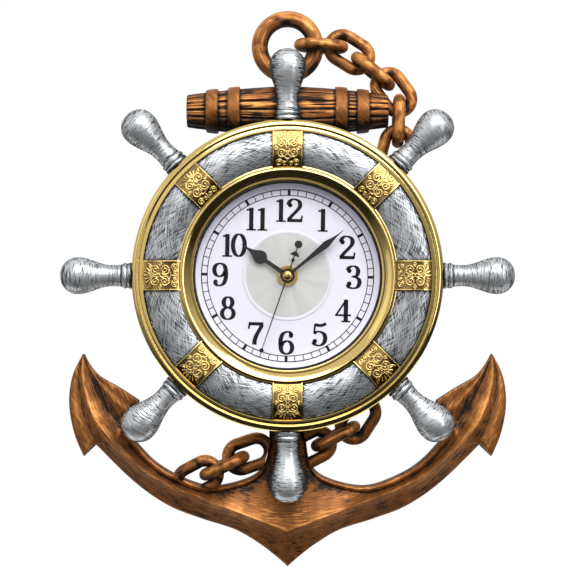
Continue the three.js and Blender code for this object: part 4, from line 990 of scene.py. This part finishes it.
def make_stock():
    bm = bmesh.new()
    grain, wear_and_shading = layers(bm)
    staves = 15
    cap_share = 0.03
    made = sheet(bm, 330, 240, lambda u, v: Vector((u, v, 0)))
    for vert in made:
        u, around = vert.co.x, 2 * pi * vert.co.y
        cap = min(u, 1 - u) / cap_share
        x = mix(-STOCK_HALF, STOCK_HALF, min(1, max(0, (u - cap_share) / (1 - 2 * cap_share))))
        radius = stock_radius(x)
        lane = staves * around / (2 * pi)
        drift = 0.1 * noise.noise((x / 30, round(lane) % staves * 3.7, 5.0))
        gap = abs((lane + drift + 0.5) % 1 - 0.5) * 2 * pi * radius / staves
        open_share = 0.75 + 0.8 * noise.noise((x / 14, round(lane) % staves * 2.3, 1.0))
        groove = min(1, max(0, open_share)) * exp(-((gap / 0.7) ** 2))
        own = (x / 30, 12 * cos(around), 12 * sin(around))
        fibre = noise.noise(own) * 0.6 + noise.noise((own[0] * 2, own[1] * 2.3, own[2] * 2.3)) * 0.4
        crack = ease(-fibre, 0.16, 0.42)
        depth = 1.3 * groove + 0.5 * crack - 0.1 * fibre
        edge = 0.7 * ease(abs(x), STOCK_HALF - 1.0, STOCK_HALF)
        reach = (radius - depth) * min(1, cap ** 0.8) - edge * min(1, cap)
        side, front = reach * sin(around), reach * cos(around)
        vert.co = (x, -(STOCK_DEPTH + front), STOCK_HEIGHT + side)
        beside = max(exp(-(((abs(x - hoop) - 4.9) / 1.0) ** 2)) for hoop in HOOPS)
        stain = blot((x / 11, 1.4 * cos(around), 1.4 * sin(around)))
        dark = 3.2 * groove + 1.5 * crack + 1.2 * beside + 0.9 * stain
        vert[grain] = (x, 16 * cos(around), 16 * sin(around))
        behind = spoke_shadow_share(x, STOCK_HEIGHT + side, 4.0) if front > 0 else 0
        # Dark in the stave grooves, the cracks and the stains, and darker beside the hoops and on the upper
        # side; the places behind the spokes get a painted shadow.
        vert[wear_and_shading] = 0.65 + 0.9 * fibre - dark - 0.8 * max(0, sin(around)) ** 3 - 1.2 * behind
    shade_below(bm, 3.0)
    piece("copper_stock", bm, [COPPER], ["stock"], sharp=60)
    for i, at in enumerate(HOOPS):
        bm = bmesh.new()
        low, high = at - HOOP_HALF, at + HOOP_HALF
        outer = []
        for k in range(13):
            x = mix(low, high, k / 12)
            outer.append((stock_radius(x) + 1.9 - 0.5 * (k / 6 - 1) ** 6, x))
        inner = [(stock_radius(x) - 1.0, x) for x in (high, low)]
        turning(bm, outer + inner, 128)

        def rubbed_and_shaded(place):
            edge = abs(-place.y - at) / HOOP_HALF
            round_it, length = 16 * atan2(place.z, place.x), -place.y
            slanting = (0.75 * round_it + 0.66 * length, 0.75 * length - 0.66 * round_it, 0)
            return slanting, mix(0.2, -0.5, ease(edge, 0.85, 1.0))

        mark(bm, rubbed_and_shaded)
        move(bm, placed((0, -STOCK_DEPTH, STOCK_HEIGHT), pi / 2, "Z"))
        shade_below(bm, 1.8)
        piece(f"copper_hoop_{i + 1}", bm, [COPPER], [f"stock_hoop_{i + 1}"])


CHAIN_DEPTH = 15.2
LINK_LENGTH, LINK_WIDTH, LINK_WIRE, FIRST_WIDTH = 39.4, 27.5, 4.3, 30.2
RING_HEIGHT, RING_RADIUS, RING_WIRE = 165.6, 20.1, 5.9
# Links: name, x, height, tilt and whether the link stands on edge. The first one, in the ring, is wider.
CHAIN = [
    ("chain_upper_1", 24.3, 166.3, 3, True),
    ("chain_upper_2", 44.7, 161.8, 32, False),
    ("chain_upper_3", 61.7, 148, 40, True),
    ("chain_upper_4", 76.7, 132.7, 54, False),
    ("chain_upper_5", 80.2, 112.1, 92, True),
    ("chain_upper_6", 78.3, 90.4, 104, False),
    ("chain_lower_1", 51, -103.7, -57, False),
    ("chain_lower_2", 34.7, -116, -27, True),
    ("chain_lower_3", 16.8, -124.3, -27, False),
    ("chain_lower_4", -28.2, -128.9, -19, False),
    ("chain_lower_5", -45.7, -137.3, -25, True),
    ("chain_lower_6", -64.9, -146, -28, False),
]
# Lines along the edge of the anchor, where a link goes into it: a place on the line and the way out.
TRIMS = {
    "chain_lower_3": ((13.6, -124), (1, 0.2)),
    "chain_lower_4": ((-15.2, -130), (-1, 0.28)),
    "chain_lower_6": ((-65, -150.6), (0.26, 1)),
}


def link(bm, width):
    """A link along x in the plane of the wall. Gives the bend of its ends and half its straight length."""
    bend = width / 2 - LINK_WIRE
    reach = (LINK_LENGTH - width) / 2
    wire = bmesh.ops.create_circle(bm, segments=28, radius=LINK_WIRE)["verts"]
    stand = placed((reach, 0, bend), pi / 2, "Y")
    bmesh.ops.transform(bm, matrix=stand, verts=wire)
    loop = joined(wire, "link_edges")
    first = loop
    for end in (1, -1):
        bent = bmesh.ops.spin(
            bm, geom=loop, axis=(0, 1, 0), cent=(end * reach, 0, 0), angle=pi, steps=28, use_merge=False
        )
        loop = only(bent["geom_last"], BMEdge)
        if end == 1:
            drawn = bmesh.ops.extrude_edge_only(bm, edges=loop)["geom"]
            ends = only(drawn, BMVert)
            bmesh.ops.translate(bm, vec=(-2 * reach, 0, 0), verts=ends)
            loop = [edge for edge in only(drawn, BMEdge) if all(v in ends for v in edge.verts)]
    bmesh.ops.bridge_loops(bm, edges=loop + first)
    long = [e for e in bm.edges if abs(e.verts[0].co.x - e.verts[1].co.x) > 1.9 * reach]
    bmesh.ops.subdivide_edges(bm, edges=long, cuts=7)
    return bend, reach


def make_chain():
    for i, (name, x, height, tilt, edge) in enumerate(CHAIN):
        bm = bmesh.new()
        bend, reach = link(bm, LINK_WIDTH if i else FIRST_WIDTH)
        # The upper links are made brighter.
        shine = 0.5 if height > 0 else 0.2

        def rubbed_and_shaded(place):
            along_x = max(abs(place.x) - reach, 0)
            out = (hypot(along_x, place.z) - bend) / LINK_WIRE
            end = ease(abs(place.x), reach + 2, reach + bend)
            stain = blot((place.x / 6, place.y / 6 + 3 * i, place.z / 6))
            # Painted shade: darker on the inner side of the wire, most at the bends where the next link
            # sits.
            worn_and_shaded = shine + 0.55 * out - 1.1 * end * ease(-out, -0.1, 0.8) - stain
            return (place.x + 70 * i, place.y, place.z + 11 * i), worn_and_shaded

        mark(bm, rubbed_and_shaded)
        put = placed((x, -CHAIN_DEPTH, height), radians(tilt), "Y")
        if edge:
            put = put @ Matrix.Rotation(pi / 2, 4, "X")
        move(bm, put)
        if name in TRIMS:
            spot, out = TRIMS[name]
            cut = bmesh.ops.bisect_plane(
                bm,
                geom=bm.verts[:] + bm.edges[:] + bm.faces[:],
                plane_co=(spot[0], 0, spot[1]),
                plane_no=(-out[0], 0, -out[1]),
                clear_outer=True,
            )["geom_cut"]
            bmesh.ops.holes_fill(bm, edges=only(cut, BMEdge), sides=0)
        shade_below(bm, 1.5)
        piece("copper_" + name, bm, [COPPER], [name], sharp=60)
    bm = bmesh.new()
    turning(bm, arc((RING_RADIUS, 0), RING_WIRE, 0, 345, 23), 96)

    def rubbed_and_shaded(place):
        out = (hypot(place.x, place.z) - RING_RADIUS) / RING_WIRE
        # Painted shade: darker on the inner side of the ring.
        worn_and_shaded = 0.45 + 0.4 * out - 0.9 * ease(-out, 0.3, 1.0) - blot(place / 8)
        return (14 * atan2(place.z, place.x), place.y, 2 * out), worn_and_shaded

    mark(bm, rubbed_and_shaded)
    bmesh.ops.translate(bm, vec=(0, -CHAIN_DEPTH, RING_HEIGHT), verts=bm.verts)
    shade_below(bm, 1.0)
    piece("copper_ring", bm, [COPPER], ["shackle_ring"])


make_anchor()
make_stock()
make_chain()


# Parts at the back and the movement

def screw(bm, x, height, seat, reach, tall):
    """A domed cross-head screw, driven from the back onto a face at the depth seat."""

    def dome(u, v):
        a, b = 2 * u - 1, 2 * v - 1
        spot = Vector((a * sqrt(1 - b * b / 2), b * sqrt(1 - a * a / 2)))
        return (x + reach * spot.x, tall * (1 - 0.5 * spot.length_squared) - seat, height + reach * spot.y)

    faces = joined(sheet(bm, 13, 13, dome), "link_faces")
    rim = [edge for edge in joined(faces, "edges") if edge.is_boundary]
    for vert in only(bmesh.ops.extrude_edge_only(bm, edges=rim)["geom"], BMVert):
        vert.co.y = -seat
    cross = []
    for face in faces:
        middle = face.calc_center_median()
        a, b = sorted((abs(middle.x - x) / reach, abs(middle.z - height) / reach))
        if a < 0.12 and b < 0.6:
            cross.append(face)
    bmesh.ops.inset_region(bm, faces=cross, thickness=0.06 * reach)
    bmesh.ops.translate(bm, vec=(0, -0.6 * tall, 0), verts=joined(cross, "verts"))


def ring_of(bm, count, first, low, high, bevel, segments=3):
    """Blocks at equal steps round the axis of the hands, from a first angle."""
    for i in range(count):
        ready = len(bm.verts)
        slab(bm, low, high, bevel, segments)
        bm.verts.ensure_lookup_table()
        turn = clockwise(first + 360 / count * i)
        bmesh.ops.rotate(bm, verts=bm.verts[ready:], cent=(0, 0, 0), matrix=turn)


POSTS, POST_HEIGHT = (-16, 16), 64


def make_back():
    bm = bmesh.new()
    cup = [
        (4.6, 28), (76.8, 28), (76.8, 21.7), (82.6, 21.7), (83, 21.3), (83, 19.1), (82.6, 18.7), (79, 18.7),
        (78, 17.7), (78, 1.0), (77, 0), (75.2, 0), (74.4, 0.8), (74.4, 24.5), (72.9, 26), (4.6, 26),
    ]
    turning(bm, cup, 192)
    # A round rib and eight straight ones stiffen the floor of the cup.
    turning(bm, [(44.0, 26.2), (44.0, 24.9), (44.3, 24.6), (45.3, 24.6), (45.6, 24.9), (45.6, 26.2)], 128)
    ring_of(bm, 8, 22.5, (-0.7, -26.2, 45.2), (0.7, -24.6, 74.0), 0.3)
    # Two posts carry the hanger.
    for x in POSTS:
        slab(bm, (x - 4, -27, POST_HEIGHT - 4), (x + 4, -2.3, POST_HEIGHT + 4), 0.8)
    piece("back_cup", bm, [BLACK_ABS], ["back_case"])
    bm = bmesh.new()
    for x in POSTS:
        screw(bm, x, POST_HEIGHT, 0.8, 2.6, 0.7)
    # Six screws hold the cup and four the anchor.
    for count, first, radius, seat, reach, tall in (
        (6, 0, 80.8, 18.7, 1.7, 1.0),
        (4, 45, 91.2, 12.0, 3.0, 1.5),
    ):
        for i in range(count):
            angle = radians(first + 360 / count * i)
            screw(bm, radius * sin(angle), radius * cos(angle), seat, reach, tall)
    piece("back_screws", bm, [ZINC], sharp=30)


KNOB = (-14.744, 1.941)
CELL_HEIGHT, CELL_DEPTH = -19.1, 17.6


def make_movement():
    """Moulded details of the quartz movement, the battery and its contacts."""
    bm = bmesh.new()
    turning(bm, [(6.2, 11.5), (6.2, 10.9), (6.4, 10.7), (6.9, 10.7), (7.1, 10.9), (7.1, 11.5)], 64)
    for half in (0, pi):
        # An arrow round the knob shows which way it sets the hands.
        def arrow(u, v):
            wide = 0.4 if u < 0.72 else 1.3 * (1 - u) / 0.28
            reach, angle = 8.8 + 2 * wide * (v - 0.5), half + 0.5 + 2.1 * u
            return (reach * sin(angle), -11.5, reach * cos(angle))

        bent = joined(sheet(bm, 40, 2, arrow), "link_faces")
        raised = bmesh.ops.extrude_face_region(bm, geom=bent)["geom"]
        bmesh.ops.translate(bm, vec=(0, 0.6, 0), verts=only(raised, BMVert))
    bmesh.ops.translate(bm, vec=(KNOB[0], 0, KNOB[1]), verts=bm.verts)
    # Tongues hold the cover, and a raised field stiffens it.
    for x in (-15, 15):
        slab(bm, (x - 3, -11.6, 23.4), (x + 3, -10.0, 26.2), 0.4)
        slab(bm, (x - 3, -11.6, -10.0), (x + 3, -10.4, -8.2), 0.4)
    slab(bm, (2, -11.6, -4), (22, -10.8, 18), 0.35)
    for row in range(5):
        slab(bm, (4.5, -11.2, -1 + 3.6 * row), (19.5, -10.4, 0.4 + 3.6 * row), 0.3)
    piece("cover_details", bm, [BLACK_ABS])
    bm = bmesh.new()
    ring_of(bm, 20, 0, (-0.3, -10.9, 4.5), (0.3, -9.8, 5.3), 0.15, 2)
    slab(bm, (-3.6, -10.0, -0.6), (3.6, -9.1, 0.6), 0.3)
    bmesh.ops.translate(bm, vec=(KNOB[0], 0, KNOB[1]), verts=bm.verts)
    piece("knob_grips", bm, [BLACK_ABS], body="knob")
    bm = bmesh.new()
    shell = [
        (0, -24.2), (4.6, -24.2), (4.9, -24.5), (5.6, -24.5), (5.8, -24.2), (6.3, -24.2), (6.6, -24.4),
        (6.9, -24.1), (7, -23.6), (7, 9.9), (7, 10.1), (7, 23.0), (6.8, 23.4), (6.4, 23.5), (6.1, 23.2),
        (3.1, 23.3), (2.7, 23.5), (2.7, 24.2), (2.4, 24.5), (0, 24.5),
    ]
    turning(bm, shell, 72, closed=False)
    for face in bm.faces:
        middle = face.calc_center_median()
        if middle.xz.length < 6.2 or -middle.y < -24:
            face.material_index = 2
        elif -middle.y > 10:
            face.material_index = 1
    move(bm, placed((0, -CELL_DEPTH, CELL_HEIGHT), pi / 2, "Z"))
    piece("battery_cell", bm, [BATTERY, BATTERY_BAND, ZINC], ["battery"], body="cell")
    bm = bmesh.new()
    slab(bm, (25.9, -22.5, CELL_HEIGHT - 4.5), (26.3, -11.5, CELL_HEIGHT + 4.5), 0.15, 2)
    slab(bm, (-26.3, -22.5, CELL_HEIGHT - 4.5), (-26.0, -11.5, CELL_HEIGHT + 4.5), 0.12, 2)
    wire = bmesh.ops.create_circle(bm, segments=10, radius=0.3)["verts"]
    stand = placed((-25.7, -CELL_DEPTH, CELL_HEIGHT + 3.4), pi / 2, "Z")
    bmesh.ops.transform(bm, matrix=stand, verts=wire)
    bmesh.ops.spin(
        bm,
        geom=joined(wire, "link_edges"),
        axis=(1, 0, 0),
        cent=(0, -CELL_DEPTH, CELL_HEIGHT),
        dvec=(0.8 / 70, 0, 0),
        angle=5 * pi,
        steps=70,
    )
    piece("battery_contacts", bm, [ZINC])


make_back()
make_movement()

# The flat edges of the solid parts that stay in sight are broken a little, as from a mould or a press.
for name, width in (("movement_case", 0.5), ("movement_cover", 0.3), ("set_knob", 0.2), ("hanger", 0.25)):
    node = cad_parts[name]
    weld = node.modifiers.new("joined_corners", "WELD")
    weld.merge_threshold = 0.00001
    bevel = node.modifiers.new("broken_edges", "BEVEL")
    bevel.width = width / 1000
    bevel.segments = 3
    bevel.limit_method = "ANGLE"
    bevel.angle_limit = radians(50)

WHEELS = (
    "step_wheel", "seconds_wheel", "third_wheel", "centre_wheel",
    "minute_pipe", "minute_wheel", "hour_wheel",
)
for names, material in (
    (("movement_case", "movement_cover", "set_knob"), BLACK_ABS),
    (("hanger", "rotor"), ZINC),
    (("circuit_board",), BOARD),
    (("coil",), WINDING),
    (WHEELS, NYLON),
):
    for name in names:
        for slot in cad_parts[name].material_slots:
            slot.material = material


# Studio

scene = bpy.context.scene
scene.view_settings.view_transform = "Standard"

camera = bpy.data.objects.new("camera", bpy.data.cameras.new("camera"))
camera.data.lens = 112.7
camera.data.sensor_width = 36
camera.location = (0.0003, -1.320, -0.0728)
camera.rotation_euler = (pi / 2, 0, 0)
scene.collection.objects.link(camera)
scene.camera = camera


def lamp(name, place, size, power):
    """A soft box that faces the clock."""
    light = bpy.data.lights.new(name, "AREA")
    light.shape = "RECTANGLE"
    light.size, light.size_y = size
    light.energy = power
    made = bpy.data.objects.new(name, light)
    made.location = place
    made.rotation_euler = (Vector((0, 0, -0.06)) - Vector(place)).to_track_quat("-Z", "Y").to_euler()
    scene.collection.objects.link(made)


lamp("soft_box_above", (0.25, -1.0, 0.9), (1.5, 1.0), 20)
lamp("soft_box_left", (-1.25, -0.75, 0.2), (0.5, 1.2), 0.9)
lamp("soft_box_front", (-0.4, -1.5, 0.1), (0.9, 0.9), 1.0)
lamp("strip_right", (1.05, -1.15, 0.15), (0.3, 1.2), 4.0)

world = bpy.data.worlds.new("studio")
scene.world = world
world.use_nodes = True
room = world.node_tree
room.nodes.clear()
path = add(room, "LightPath")
facing = add(
    room,
    "VectorMath",
    {0: add(room, "TexCoord")["Generated"], 1: (-0.15, 0.1, 0.98)},
    operation="DOT_PRODUCT",
)["Value"]
walls = add(
    room, "MapRange", {"Value": facing, "From Min": -0.45, "From Max": 0.5, "To Min": 0.03, "To Max": 1.0}
)[0]
gloss = add(room, "MapRange", {"Value": path["Is Glossy Ray"], "To Min": 1.2, "To Max": 0.75})[0]
lit = add(room, "Math", {0: walls, 1: gloss}, operation="MULTIPLY")[0]
clear = add(
    room, "Math", {0: path["Is Camera Ray"], 1: path["Is Transmission Ray"]}, operation="MAXIMUM"
)[0]
strength = add(room, "Math", {0: clear, 1: lit}, operation="MAXIMUM")[0]
sky = add(room, "Background", {"Color": (1, 1, 1, 1), "Strength": strength})[0]
add(room, "OutputWorld", {"Surface": sky})

bm = bmesh.new()
bmesh.ops.create_grid(bm, x_segments=1, y_segments=1, size=1.0)
lay = Matrix.Translation((0, 0.75, -1.0)) @ Matrix.Diagonal((1.5, 0.85, 1, 1))
move(bm, lay)
floor_mesh = bpy.data.meshes.new("pale_floor")
bm.to_mesh(floor_mesh)
bm.free()
floor = bpy.data.objects.new("pale_floor", floor_mesh)
floor_mesh.materials.append(coated("Pale floor paint", "#F2F2F1", "#EEEEED", 30.0, 0.6))
scene.collection.objects.link(floor)
